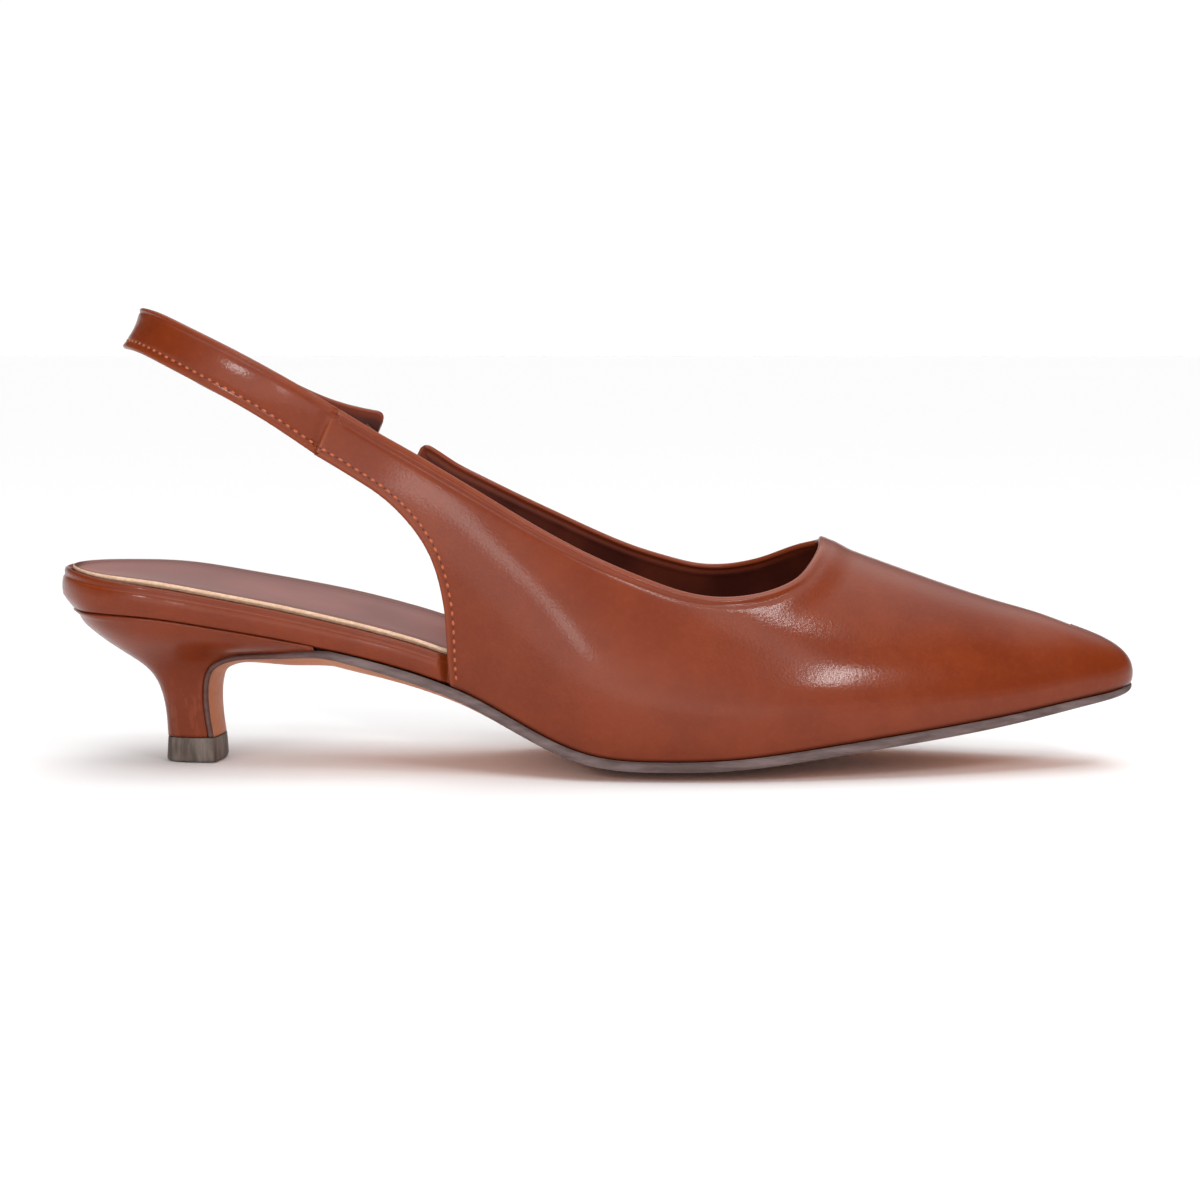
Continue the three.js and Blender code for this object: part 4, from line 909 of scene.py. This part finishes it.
def quarter_end(side):
    top, low = [last_point(s, side, up) for s, up in (
        place_on_last(side, TOPLINE[side][-1]), place_on_last(side, BACK_EDGE[side][-1]),
    )]
    return (top + low) / 2, math.atan2(top[0] - low[0], top[2] - low[2]), float(np.linalg.norm(top - low))


def strap_rows():
    middle, lean, width = quarter_end(-1)
    rows = [(
        middle[0] - SEAM_GAP * math.cos(lean), middle[1] + UPPER_WALL / 2,
        middle[2] + SEAM_GAP * math.sin(lean), lean, width - GAP, 0,
    )]
    for reach, side, drop, tilt, wide, cup in STRAP_SECTIONS:
        rows.append((
            reach * (STRAP_BACK if reach < 0 else STRAP_FORWARD), side * STRAP_SPAN / 2,
            STRAP_HEIGHT - drop * STRAP_DROP, tilt, wide * STRAP_WIDTH, cup * STRAP_CUP,
        ))
    return rows


STRAP = [along(strap_rows(), column) for column in range(6)]
STRAP_END = len(STRAP_SECTIONS)


def strap_frame(at):
    """Middle, width direction, outward direction and width of the strap at places along it."""
    behind, middle, ahead = [
        np.stack([STRAP[c](at + step) for c in range(3)], -1) for step in (-0.05, 0, 0.05)
    ]
    lean = STRAP[3](at)
    up = np.stack([np.sin(lean), lean * 0, np.cos(lean)], -1)
    out = unit(np.cross(up, ahead - behind))
    return middle, up, out, STRAP[4](at)


def strap_relief(at, low, high):
    """How far the strap's outer face stands above its plane, at distances from its lower and upper edge."""
    across = (low - high) / (low + high)
    crown = STRAP_CROWN * (1 - 0.85 * np.clip(STRAP[5](at) / STRAP_CUP, 0, 1))
    body = crown * (0.65 - across**2) + 0.1 * smooth(low, 1.9, 3.4) * smooth(high, 1.2, 2.6)
    stitched = 0.14 * np.exp(-(((low - STITCH_INSET) / 0.45) ** 2))
    pressed = 0.2 * np.exp(-(((high - 1.25) / 0.35) ** 2))
    return body - stitched - pressed


def strap_face(at, place, width):
    """How far the strap's outer face stands off its plane at a distance from its middle line."""
    relief = strap_relief(at, place + width / 2, width / 2 - place)
    return STRAP_FACE + relief - strap_cup(at, 2 * place / width)


def strap_cup(at, across):
    """How far the strap's back is hollowed towards the foot; across runs from -1 at its lower edge to 1."""
    return np.maximum(STRAP[5](at), 0) * np.sin(CUP_ARC * (across + 1))


def make_strap(leather, lining):
    at = np.concatenate([
        np.linspace(-0.16, 0.3, 24), np.linspace(0.3, STRAP_END - 0.1, 220)[1:],
        np.linspace(STRAP_END - 0.1, STRAP_END, 16)[1:],
    ])
    middle, up, out, width = strap_frame(at)
    run = arc(middle)
    seam = np.exp(-((np.clip(run - run[8], 0, None) / 1.3) ** 2))
    corner = np.clip(1 - (run[-1] - run) / EAR_ROUND, 0, 1)
    reach = width / 2 - STRAP_ROLL - EAR_ROUND * (1 - np.sqrt(1 - corner**2))
    shares = np.linspace(0, 1, 45)
    outer, inner = [], []
    for share in shares:
        place = (share * 2 - 1) * reach
        body = smooth(place + width / 2, 1.3, 2.3) * smooth(width / 2 - place, 1.6, 2.6)
        lift = strap_face(at, place, width) - 0.75 * seam * body
        lift -= 0.5 * (1 - smooth(run, 0, 2.0)) * (1 - body)
        back = STRAP_FACE + strap_cup(at, 2 * place / width)
        outer.append(middle + up * place[:, None] + out * lift[:, None])
        inner.append(middle + up * place[:, None] - out * back[:, None])
    outer, inner = np.array(outer), np.array(inner)
    build = Build("edge")
    edge = np.minimum(shares[:, None] * width, width - shares[:, None] * width)
    build.add(outer, 0, True, edge=edge)
    build.add(inner, 1, False, edge=edge)
    rolls = []
    for side, row in ((1, -1), (-1, 0)):
        centre, arm = (outer[row] + inner[row]) / 2, (outer[row] - inner[row]) / 2
        rolls.append(half_round(centre, arm, side * STRAP_ROLL * up))
        build.add(rolls[-1], 0, side > 0, edge=0)
    top, low = rolls
    for j, flip in ((0, False), (-1, True)):
        ring = np.concatenate([outer[:, j], top[1:-1, j], inner[::-1, j], low[-2:0:-1, j]])
        build.cap(ring, flip, edge=0.5)
    return build.make("sling_band", [leather, lining])


def make_elastic(fabric):
    end = strap_frame(np.array([float(STRAP_END)]))[0][0]
    tab = quarter_end(1)[0]
    run = tab - end
    reach = run / np.linalg.norm(run) * ELASTIC_LAP
    inward = GAP + ELASTIC_THICKNESS / 2
    start = end - reach * (1, 0, 1) - (0, STRAP_THICKNESS / 2 + inward, ELASTIC_DROP)
    stop = tab + reach * (1, 0, 1) - (0, UPPER_WALL + inward + 2 * GAP, ELASTIC_DROP)
    up = np.array([math.sin(0.5), 0, math.cos(0.5)])
    out = unit(np.cross(stop - start, up))
    build = Build("edge")
    shares = np.linspace(0, 1, 120)
    rings = []
    for j in range(48):
        angle = 2 * math.pi * j / 48
        a = np.sign(math.cos(angle)) * abs(math.cos(angle)) ** 0.35
        b = np.sign(math.sin(angle)) * abs(math.sin(angle)) ** 0.6
        rib = 1 + 0.1 * math.cos(a * 9 * math.pi)
        wave = 0.04 * np.sin(shares * 120)
        thick = b * (ELASTIC_THICKNESS / 2 * rib + wave[:, None])
        rings.append(lerp(start, stop, shares[:, None]) + up * a * ELASTIC_WIDTH / 2 + out * thick)
    rings = np.array(rings)
    build.add(np.transpose(rings, (1, 0, 2)), 0, True, close=True, edge=1)
    build.cap(rings[:, 0], True, edge=1)
    build.cap(rings[:, -1], False, edge=1)
    return build.make("elastic_band", [fabric])


# Stitches
def stitch_rows(name, lines, thread, dark):
    """Each line is points and outward normals in millimetres; every pitch a stitch, and a needle hole drawn
    as a small dark cap of painted shade.
    """
    build = Build()
    rng = random.Random(7)
    circle = 2 * math.pi * np.arange(8)[:, None] / 8
    shares = np.linspace(-1, 1, 7)
    thick = [math.sin(math.pi * (j + 0.001) / 6.002) ** 0.55 for j in range(7)]
    for points, normals in lines:
        run = arc(points)
        count = int(run[-1] // STITCH_PITCH)

        def read(values, at):
            return np.array([np.interp(at, run, values[:, c]) for c in range(3)])

        for n in range(count):
            at = (n + 0.5) * run[-1] / count
            p, normal = read(points, at), unit(read(normals, at))
            ahead = unit(read(points, at + 0.4) - read(points, at - 0.4))
            beside = unit(np.cross(normal, ahead))
            tilt = 0.1 + rng.uniform(-0.05, 0.05)
            tangent = ahead * math.cos(tilt) + beside * math.sin(tilt)
            side = beside * math.cos(tilt) - ahead * math.sin(tilt)
            long = STITCH_LENGTH * rng.uniform(0.94, 1.06) / 2
            build.add([
                p + tangent * t * long + side * np.cos(circle) * STITCH_WIDTH / 2 * wide
                + normal * (np.sin(circle) * 0.19 * wide + 0.03 - 0.12 * t * t)
                for t, wide in zip(shares, thick)
            ], 0, True, close=True)
            # A small dark cap over the needle hole: painted shade
            hole = p + tangent * STITCH_PITCH / 2
            round_hole = tangent * np.cos(circle) * 1.1 + side * np.sin(circle) * 0.8
            build.add([
                hole + normal * height + radius * round_hole
                for radius, height in ((0.34, -0.05), (0.26, 0.03), (0.0, 0.045))
            ], 1, False, close=True)
    return build.make(name, [thread, dark])


# Materials
class Graph:
    """Short calls for building a node tree."""

    def __init__(self, tree):
        self.tree = tree

    def node(self, kind, **values):
        made = self.tree.nodes.new(kind)
        for key, value in values.items():
            setattr(made, key, value)
        return made

    def put(self, socket, value):
        if hasattr(value, "is_output"):
            self.tree.links.new(value, socket)
        else:
            socket.default_value = value

    def math(self, operation, a, b=0.0):
        made = self.node("ShaderNodeMath", operation=operation)
        self.put(made.inputs[0], a)
        self.put(made.inputs[1], b)
        return made.outputs[0]

    def ramp(self, value, low, high, a=0.0, b=1.0):
        made = self.node("ShaderNodeMapRange", interpolation_type="SMOOTHSTEP")
        for socket, given in zip(made.inputs, (value, low, high, a, b)):
            self.put(socket, given)
        return made.outputs[0]

    def axis(self, vector, name):
        made = self.node("ShaderNodeSeparateXYZ")
        self.put(made.inputs[0], vector)
        return made.outputs[name]


class Nodes(Graph):
    """One material round a Principled shader."""

    def __init__(self, name):
        self.material = bpy.data.materials.new(name)
        self.material.use_nodes = True
        super().__init__(self.material.node_tree)
        self.shader = self.tree.nodes["Principled BSDF"]
        self.place = self.node("ShaderNodeTexCoord").outputs["Object"]

    def field(self, name):
        return self.node("ShaderNodeAttribute", attribute_name=name).outputs["Fac"]

    def bell(self, value, middle, width, height=1.0):
        """The height at the middle, falling smoothly to 0 at width on either side."""
        off = self.math("ABSOLUTE", self.math("SUBTRACT", value, middle))
        return self.ramp(off, 0.0, width, height, 0.0)

    def stretch(self, x, y, z, turn=(0, 0, 0)):
        made = self.node("ShaderNodeMapping")
        for name, value in (("Vector", self.place), ("Rotation", turn), ("Scale", (x, y, z))):
            self.put(made.inputs[name], value)
        return made.outputs[0]

    def noise(self, scale, detail=3.0, rough=0.5, where=None):
        made = self.node("ShaderNodeTexNoise")
        self.put(made.inputs["Vector"], where or self.place)
        for name, value in (("Scale", scale), ("Detail", detail), ("Roughness", rough)):
            made.inputs[name].default_value = value
        return made.outputs["Fac"]

    def cells(self, scale):
        made = self.node("ShaderNodeTexVoronoi")
        self.put(made.inputs["Vector"], self.place)
        made.inputs["Scale"].default_value = scale
        return made.outputs["Distance"]

    def mix(self, share, a, b):
        made = self.node("ShaderNodeMix", data_type="RGBA")
        for index, value in ((0, share), (6, a), (7, b)):
            self.put(made.inputs[index], value)
        return made.outputs[2]

    def tones(self, value, low, high, a, b):
        return self.mix(self.ramp(value, low, high), srgb(*a), srgb(*b))

    def bump(self, height, distance, strength=1.0, after=None):
        made = self.node("ShaderNodeBump")
        for name, value in (("Strength", strength), ("Distance", distance), ("Height", height)):
            self.put(made.inputs[name], value)
        if after is not None:
            self.put(made.inputs["Normal"], after)
        return made.outputs[0]

    def finish(self, colour, rough, normal=None, **constants):
        self.put(self.shader.inputs["Base Color"], colour)
        self.put(self.shader.inputs["Roughness"], rough)
        if normal is not None:
            self.put(self.shader.inputs["Normal"], normal)
        for key, value in constants.items():
            self.shader.inputs[key.replace("_", " ")].default_value = value
        return self.material


def srgb(r, g, b):
    def one(v):
        v /= 255
        return v / 12.92 if v <= 0.04045 else ((v + 0.055) / 1.055) ** 2.4

    return (one(r), one(g), one(b), 1.0)


COGNAC = srgb(123, 50, 21)
COGNAC_DEEP = srgb(114, 44, 17)
COGNAC_LIGHT = srgb(142, 68, 38)
# Painted shade for the seams between the footbed wall and the heel cover
SEAM_SHADE = srgb(50, 20, 12)


def leather(name, marks):
    n = Nodes(name)
    cloud = n.noise(60, 4, 0.6)
    patch = n.noise(700, 3, 0.6)
    colour = n.mix(n.ramp(cloud, 0.35, 0.68), COGNAC_DEEP, COGNAC)
    colour = n.mix(n.ramp(patch, 0.45, 0.75, 0.0, 0.12), colour, COGNAC_LIGHT)
    grain = n.cells(1350)
    pores = n.noise(3200, 3, 0.6)
    height = n.math("ADD", n.math("MULTIPLY", grain, 0.6), n.math("MULTIPLY", pores, 0.5))
    normal = n.bump(height, 0.00006, 0.6)
    soft = n.bump(n.noise(130, 3, 0.5), 0.0005, 0.12, normal)
    rough = n.ramp(patch, 0.3, 0.7, 0.29, 0.37)
    # The marks function adds painted highlights and shade along edges and seams, and for the heel its
    # wrinkle marks too
    colour, soft = marks(n, colour, soft)
    n.put(n.shader.inputs["Coat Normal"], n.bump(height, 0.00006, 0.25))
    return n.finish(colour, rough, soft, Specular_IOR_Level=0.1, Coat_Weight=0.32, Coat_Roughness=0.12)


def upper_painted_light(n, colour, normal):
    edge = n.field("edge")
    # Painted highlight: a lighter band along the rolled edge
    colour = n.mix(n.bell(edge, 0.0, 0.8, 0.45), colour, COGNAC_LIGHT)
    # Painted shade: a darker band along the groove 2.3 mm in from the edge
    colour = n.mix(n.bell(edge, 2.3, 1.2, 0.3), colour, COGNAC_DEEP)
    # Painted shade: darker towards the foot, where the upper tucks in above the sole
    return n.mix(n.ramp(n.field("foot"), 0.0, 1.6, 0.65, 0.0), colour, srgb(60, 22, 12)), normal


def strap_edge_highlight(n, colour, normal):
    # Painted highlight: a lighter band along the strap's rolled edges
    return n.mix(n.bell(n.field("edge"), 0.0, 0.8, 0.35), colour, COGNAC_LIGHT), normal


def footbed_painted_light(n, colour, normal):
    share = n.field("edge")
    # Painted shade: the recessed rim band near the top is darker
    colour = n.mix(n.ramp(share, 0.76, 0.83, 0.0, 0.45), colour, COGNAC_DEEP)
    # Painted highlight: a thin light line where the wall's bulge turns in under the rim
    colour = n.mix(n.bell(share, 0.755, 0.03, 0.4), colour, COGNAC_LIGHT)
    # Painted shade: darker along the seam with the heel at the bottom of the wall
    return n.mix(n.ramp(share, 0.0, 0.06, 0.7, 0.0), colour, SEAM_SHADE), normal


def heel_marks_and_seam_shade(n, colour, normal):
    lines = n.noise(700, 3, 0.6, n.stretch(1, 1, 0.16, (0, math.radians(40), 0)))
    down = n.field("edge")
    where = n.math("MULTIPLY", n.ramp(down, 0.55, 0.85), n.ramp(lines, 0.52, 0.64))
    colour = n.mix(n.math("MULTIPLY", where, 0.4), colour, COGNAC_LIGHT)
    # Painted shade along the seam with the footbed at the top of the cover
    colour = n.mix(n.ramp(down, 0.0, 0.035, 0.75, 0.0), colour, SEAM_SHADE)
    # Painted shade along the joint with the top piece at the bottom of the cover
    colour = n.mix(n.ramp(down, 0.985, 1.0, 0.0, 0.6), colour, srgb(60, 25, 15))
    return colour, n.bump(where, 0.00012, 0.5, normal)


def lining_leather(name):
    n = Nodes(name)
    cloud = n.noise(60, 3, 0.5)
    colour = n.tones(cloud, 0.3, 0.7, (64, 22, 13), (88, 36, 21))
    colour = n.mix(n.ramp(n.field("edge"), 0.6, 2.6, 0.7, 0.0), colour, COGNAC_DEEP)
    return n.finish(colour, 0.5, n.bump(n.noise(2600, 2, 0.6), 0.00005, 0.4), Specular_IOR_Level=0.2)


def sock_leather(name):
    n = Nodes(name)
    cloud = n.noise(30, 4, 0.6)
    sheen_streaks = n.noise(90, 3, 0.5, n.stretch(0.25, 1, 1))
    colour = n.tones(cloud, 0.3, 0.7, (138, 90, 84), (160, 108, 101))
    # Painted sheen: long streaks of a cooler, mauve tone across the sock
    colour = n.mix(n.ramp(sheen_streaks, 0.5, 0.75, 0.0, 0.35), colour, srgb(140, 92, 92))
    edge = n.field("edge")
    # Painted shade: darker towards the sock's side rims
    colour = n.mix(n.ramp(edge, 0.0, 9.0, 0.75, 0.0), colour, srgb(112, 64, 54))
    pressed = n.bell(edge, 3.0, 0.5)
    colour = n.mix(n.math("MULTIPLY", pressed, 0.5), colour, srgb(96, 54, 48))
    grain = n.bump(n.cells(1700), 0.00004, 0.35)
    line = n.bump(n.math("MULTIPLY", pressed, -1.0), 0.0002, 0.6, grain)
    return n.finish(colour, n.ramp(cloud, 0.3, 0.7, 0.4, 0.48), line, Specular_IOR_Level=0.2)


def cut_edge(name):
    n = Nodes(name)
    flecks = n.noise(900, 3, 0.7, n.stretch(1, 1, 3))
    colour = n.tones(flecks, 0.35, 0.7, (206, 168, 138), (228, 196, 168))
    return n.finish(colour, 0.75, n.bump(flecks, 0.00008, 0.4))


def sole_leather(name):
    n = Nodes(name)
    cloud = n.noise(45, 4, 0.6)
    fibres = n.noise(700, 3, 0.6, n.stretch(0.25, 1, 1))
    colour = n.tones(cloud, 0.3, 0.7, (180, 104, 60), (198, 124, 78))
    colour = n.mix(n.ramp(fibres, 0.5, 0.8, 0.0, 0.3), colour, srgb(176, 108, 72))
    rough = n.ramp(fibres, 0.3, 0.7, 0.42, 0.55)
    return n.finish(colour, rough, n.bump(fibres, 0.00006, 0.4), Specular_IOR_Level=0.25)


def painted_edge(name):
    n = Nodes(name)
    streak = n.noise(500, 3, 0.6, n.stretch(0.2, 0.2, 1))
    colour = n.tones(streak, 0.3, 0.7, (80, 63, 61), (114, 96, 94))
    colour = n.mix(n.ramp(n.axis(n.place, "X"), 0.018, 0.034, 0.6, 0.0), colour, srgb(92, 48, 34))
    return n.finish(colour, 0.5, n.bump(streak, 0.00008, 0.5), Specular_IOR_Level=0.3)


def top_rubber(name):
    n = Nodes(name)
    streak = n.noise(650, 4, 0.65, n.stretch(1, 1, 0.14))
    wide = n.noise(160, 2, 0.5, n.stretch(1, 1, 0.3))
    colour = n.tones(streak, 0.38, 0.66, (82, 71, 65), (114, 100, 91))
    colour = n.mix(n.ramp(wide, 0.45, 0.7, 0.0, 0.5), colour, srgb(152, 140, 132))
    return n.finish(colour, 0.62, n.bump(streak, 0.0001, 0.5), Specular_IOR_Level=0.25)


def thread(name):
    n = Nodes(name)
    twist = n.noise(3000, 2, 0.5)
    colour = n.tones(twist, 0.3, 0.7, (164, 78, 38), (192, 102, 58))
    return n.finish(colour, 0.6, n.bump(twist, 0.00006, 0.5))


def plain(name, colour, rough):
    n = Nodes(name)
    speck = n.noise(1500, 2, 0.5)
    return n.finish(n.mix(n.ramp(speck, 0.3, 0.7, 0.0, 0.35), colour, srgb(60, 30, 20)), rough)


def elastic_cloth(name):
    n = Nodes(name)
    weave = n.noise(1400, 2, 0.5, n.stretch(1, 1, 3))
    colour = n.tones(weave, 0.35, 0.65, (70, 34, 22), (104, 54, 36))
    return n.finish(colour, 0.85, n.bump(weave, 0.0001, 0.6))


def direction_of(azimuth, elevation):
    """Direction as seen from the shoe, in degrees: azimuth from straight ahead (-Y) towards the toe (+X)."""
    a, e = math.radians(azimuth), math.radians(elevation)
    return Vector((math.sin(a) * math.cos(e), -math.cos(a) * math.cos(e), math.sin(e)))


# Camera
lens = bpy.data.cameras.new("camera")
lens.lens = LENS
lens.sensor_width = 36
camera = new_object("camera", lens)
towards = direction_of(CAMERA_AZIMUTH, CAMERA_ELEVATION)
camera.location = TARGET + towards * CAMERA_DISTANCE
camera.rotation_mode = "QUATERNION"
camera.rotation_quaternion = (-towards).to_track_quat("-Z", "Y")
bpy.context.scene.camera = camera

# Pieces
lining = lining_leather("lining_leather")
# Needle holes are small dark caps over the leather: painted shade
needle_hole_shade = plain("needle_hole", srgb(84, 32, 14), 0.8)
thread_brown = thread("stitch_thread")
upper, edge_line, edge_normals, edge_away, rear_points = make_upper(
    leather("upper_leather", upper_painted_light), lining
)
strap = make_strap(leather("strap_leather", strap_edge_highlight), lining)
elastic = make_elastic(elastic_cloth("elastic_fabric"))
sock = make_sock(sock_leather("sock_leather"), cut_edge("sock_cut_edge"))
footbed = make_footbed(leather("footbed_leather", footbed_painted_light))
outsole = make_outsole(sole_leather("sole_leather"), painted_edge("sole_edge"))
heel = make_heel(leather("heel_leather", heel_marks_and_seam_shade))
lift = make_lift(top_rubber("top_rubber"))

depsgraph = bpy.context.evaluated_depsgraph_get()
upper_tree = BVHTree.FromObject(upper, depsgraph)


def on_upper(points, normals):
    """The same points moved onto the upper's outer face, with its normals."""
    found, turned = [], []
    for p, n in zip(points, normals):
        place, normal, _, _ = upper_tree.find_nearest(Vector((p + n * 0.3) * MM))
        normal = np.array(normal)
        found.append(np.array(place) / MM)
        turned.append(normal if normal @ n > 0 else -normal)
    return np.array(found), np.array(turned)


def stitch_lines():
    lines = []
    for side in (-1, 1):
        index = np.arange(rear_points)
        if side > 0:
            index = len(edge_line) - 1 - index
        points = edge_line[index] - edge_away[index] * (STITCH_INSET - EDGE_ROLL)
        placed, normals = on_upper(points, edge_normals[index])
        keep = placed[:, 2] > edge_height(CORNER, side) + 0.5
        lines.append((placed[keep], normals[keep]))
    at = np.linspace(0.02, STRAP_END - 0.08, 400)
    middle, up, out, width = strap_frame(at)
    place = STITCH_INSET - width / 2
    off = strap_face(at, place, width)
    lines.append((middle + up * place[:, None] + out * off[:, None], out))
    return lines


stitches = stitch_rows("edge_stitching", stitch_lines(), thread_brown, needle_hole_shade)

for piece, nodes, slot in (
    (upper, ("upper",), "upper_leather"),
    (strap, ("sling_strap",), "upper_leather"),
    (elastic, ("elastic_gore",), "elastic_fabric"),
    (sock, ("sock",), "sock_leather"),
    (footbed, ("footbed",), "footbed_leather"),
    (outsole, ("outsole",), "sole_leather"),
    (heel, ("heel",), "heel_leather"),
    (lift, ("heel_lift",), "top_piece_rubber"),
    (stitches, (), "upper_leather"),
):
    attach(piece, "root")
    if nodes:
        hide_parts(*nodes)

# Floor and light
floor_mesh = bpy.data.meshes.new("floor")
floor_mesh.from_pydata([(-30, -30, 0), (30, -30, 0), (30, 30, 0), (-30, 30, 0)], [], [(0, 1, 2, 3)])
floor = new_object("floor", floor_mesh)
floor_look = Nodes("pale_floor")
floor_mesh.materials.append(floor_look.finish((0.97, 0.97, 0.97, 1), 0.9, Specular_IOR_Level=0.0))
floor.location.z = -0.0002

# Soft lights: azimuth, elevation, sharpness, strength
LIGHTS = [
    (172, 54, 12, 2.4),
    (-20, 50, 12, 1.1),
    (-12, 8, 10, 1.5),
    (-30, 4, 25, 0.6),
    (14, 8, 14, 0.8),
    (0, 60, 100, 3.0),
]
ZENITH = 1.9
BACKDROP = 1.0
SIDE_BACKDROP = 0.55
LAMP_AIM = Vector((0.09, 0, 0.05))
world = bpy.data.worlds.new("studio")
world.use_nodes = True
sky = Graph(world.node_tree)
direction = sky.node("ShaderNodeTexCoord").outputs["Generated"]
upward = sky.axis(direction, "Z")


def soft_light(azimuth, elevation, sharpness, strength):
    """A round glow in the sky: strength * exp(sharpness * (cosine - 1))."""
    part = sky.node("ShaderNodeVectorMath", operation="DOT_PRODUCT")
    sky.put(part.inputs[0], direction)
    part.inputs[1].default_value = direction_of(azimuth, elevation)
    fall = sky.math("MULTIPLY", sky.math("SUBTRACT", part.outputs["Value"], 1.0), sharpness)
    return sky.math("MULTIPLY", sky.math("EXPONENT", fall), strength)


backdrop = sky.ramp(sky.axis(direction, "Y"), 0.75, 0.93, SIDE_BACKDROP, BACKDROP)
backdrop = sky.math("MULTIPLY", backdrop, sky.ramp(upward, 0.13, 0.24, 1.0, 0.0))
glow = sky.math("ADD", sky.ramp(upward, 0.8, 0.97, 0.02, ZENITH), backdrop)
for light in LIGHTS:
    glow = sky.math("ADD", glow, soft_light(*light))
background = sky.tree.nodes["Background"]
background.inputs[0].default_value = (1, 1, 1, 1)
sky.put(background.inputs[1], glow)
bpy.context.scene.world = world
bpy.context.scene.view_settings.view_transform = "Standard"
bpy.context.scene.view_settings.look = "None"


def softbox(name, azimuth, elevation, size, brightness, tilt=0):
    """A rectangular lamp one metre away, aimed at the shoe; its sizes are its width and height."""
    towards_lamp = direction_of(azimuth, elevation)
    light = bpy.data.lights.new(name, "AREA")
    light.shape = "RECTANGLE"
    light.size, light.size_y = size
    light.energy = brightness * math.pi * size[0] * size[1]
    thing = new_object(name, light)
    thing.location = LAMP_AIM + towards_lamp
    thing.rotation_mode = "QUATERNION"
    turn = Quaternion((0, 0, 1), -math.radians(tilt))
    thing.rotation_quaternion = towards_lamp.to_track_quat("Z", "Y") @ turn


softbox("right_strip", 33, 41, (0.12, 0.6), 2.2)
softbox("right_core", 34, 31, (0.045, 0.22), 44, 30)
softbox("right_top", 47, 57, (0.045, 0.16), 34, 41)
softbox("left_wide", -11, 15, (0.09, 0.15), 8)
softbox("left_core", -30, 19, (0.11, 0.07), 30)
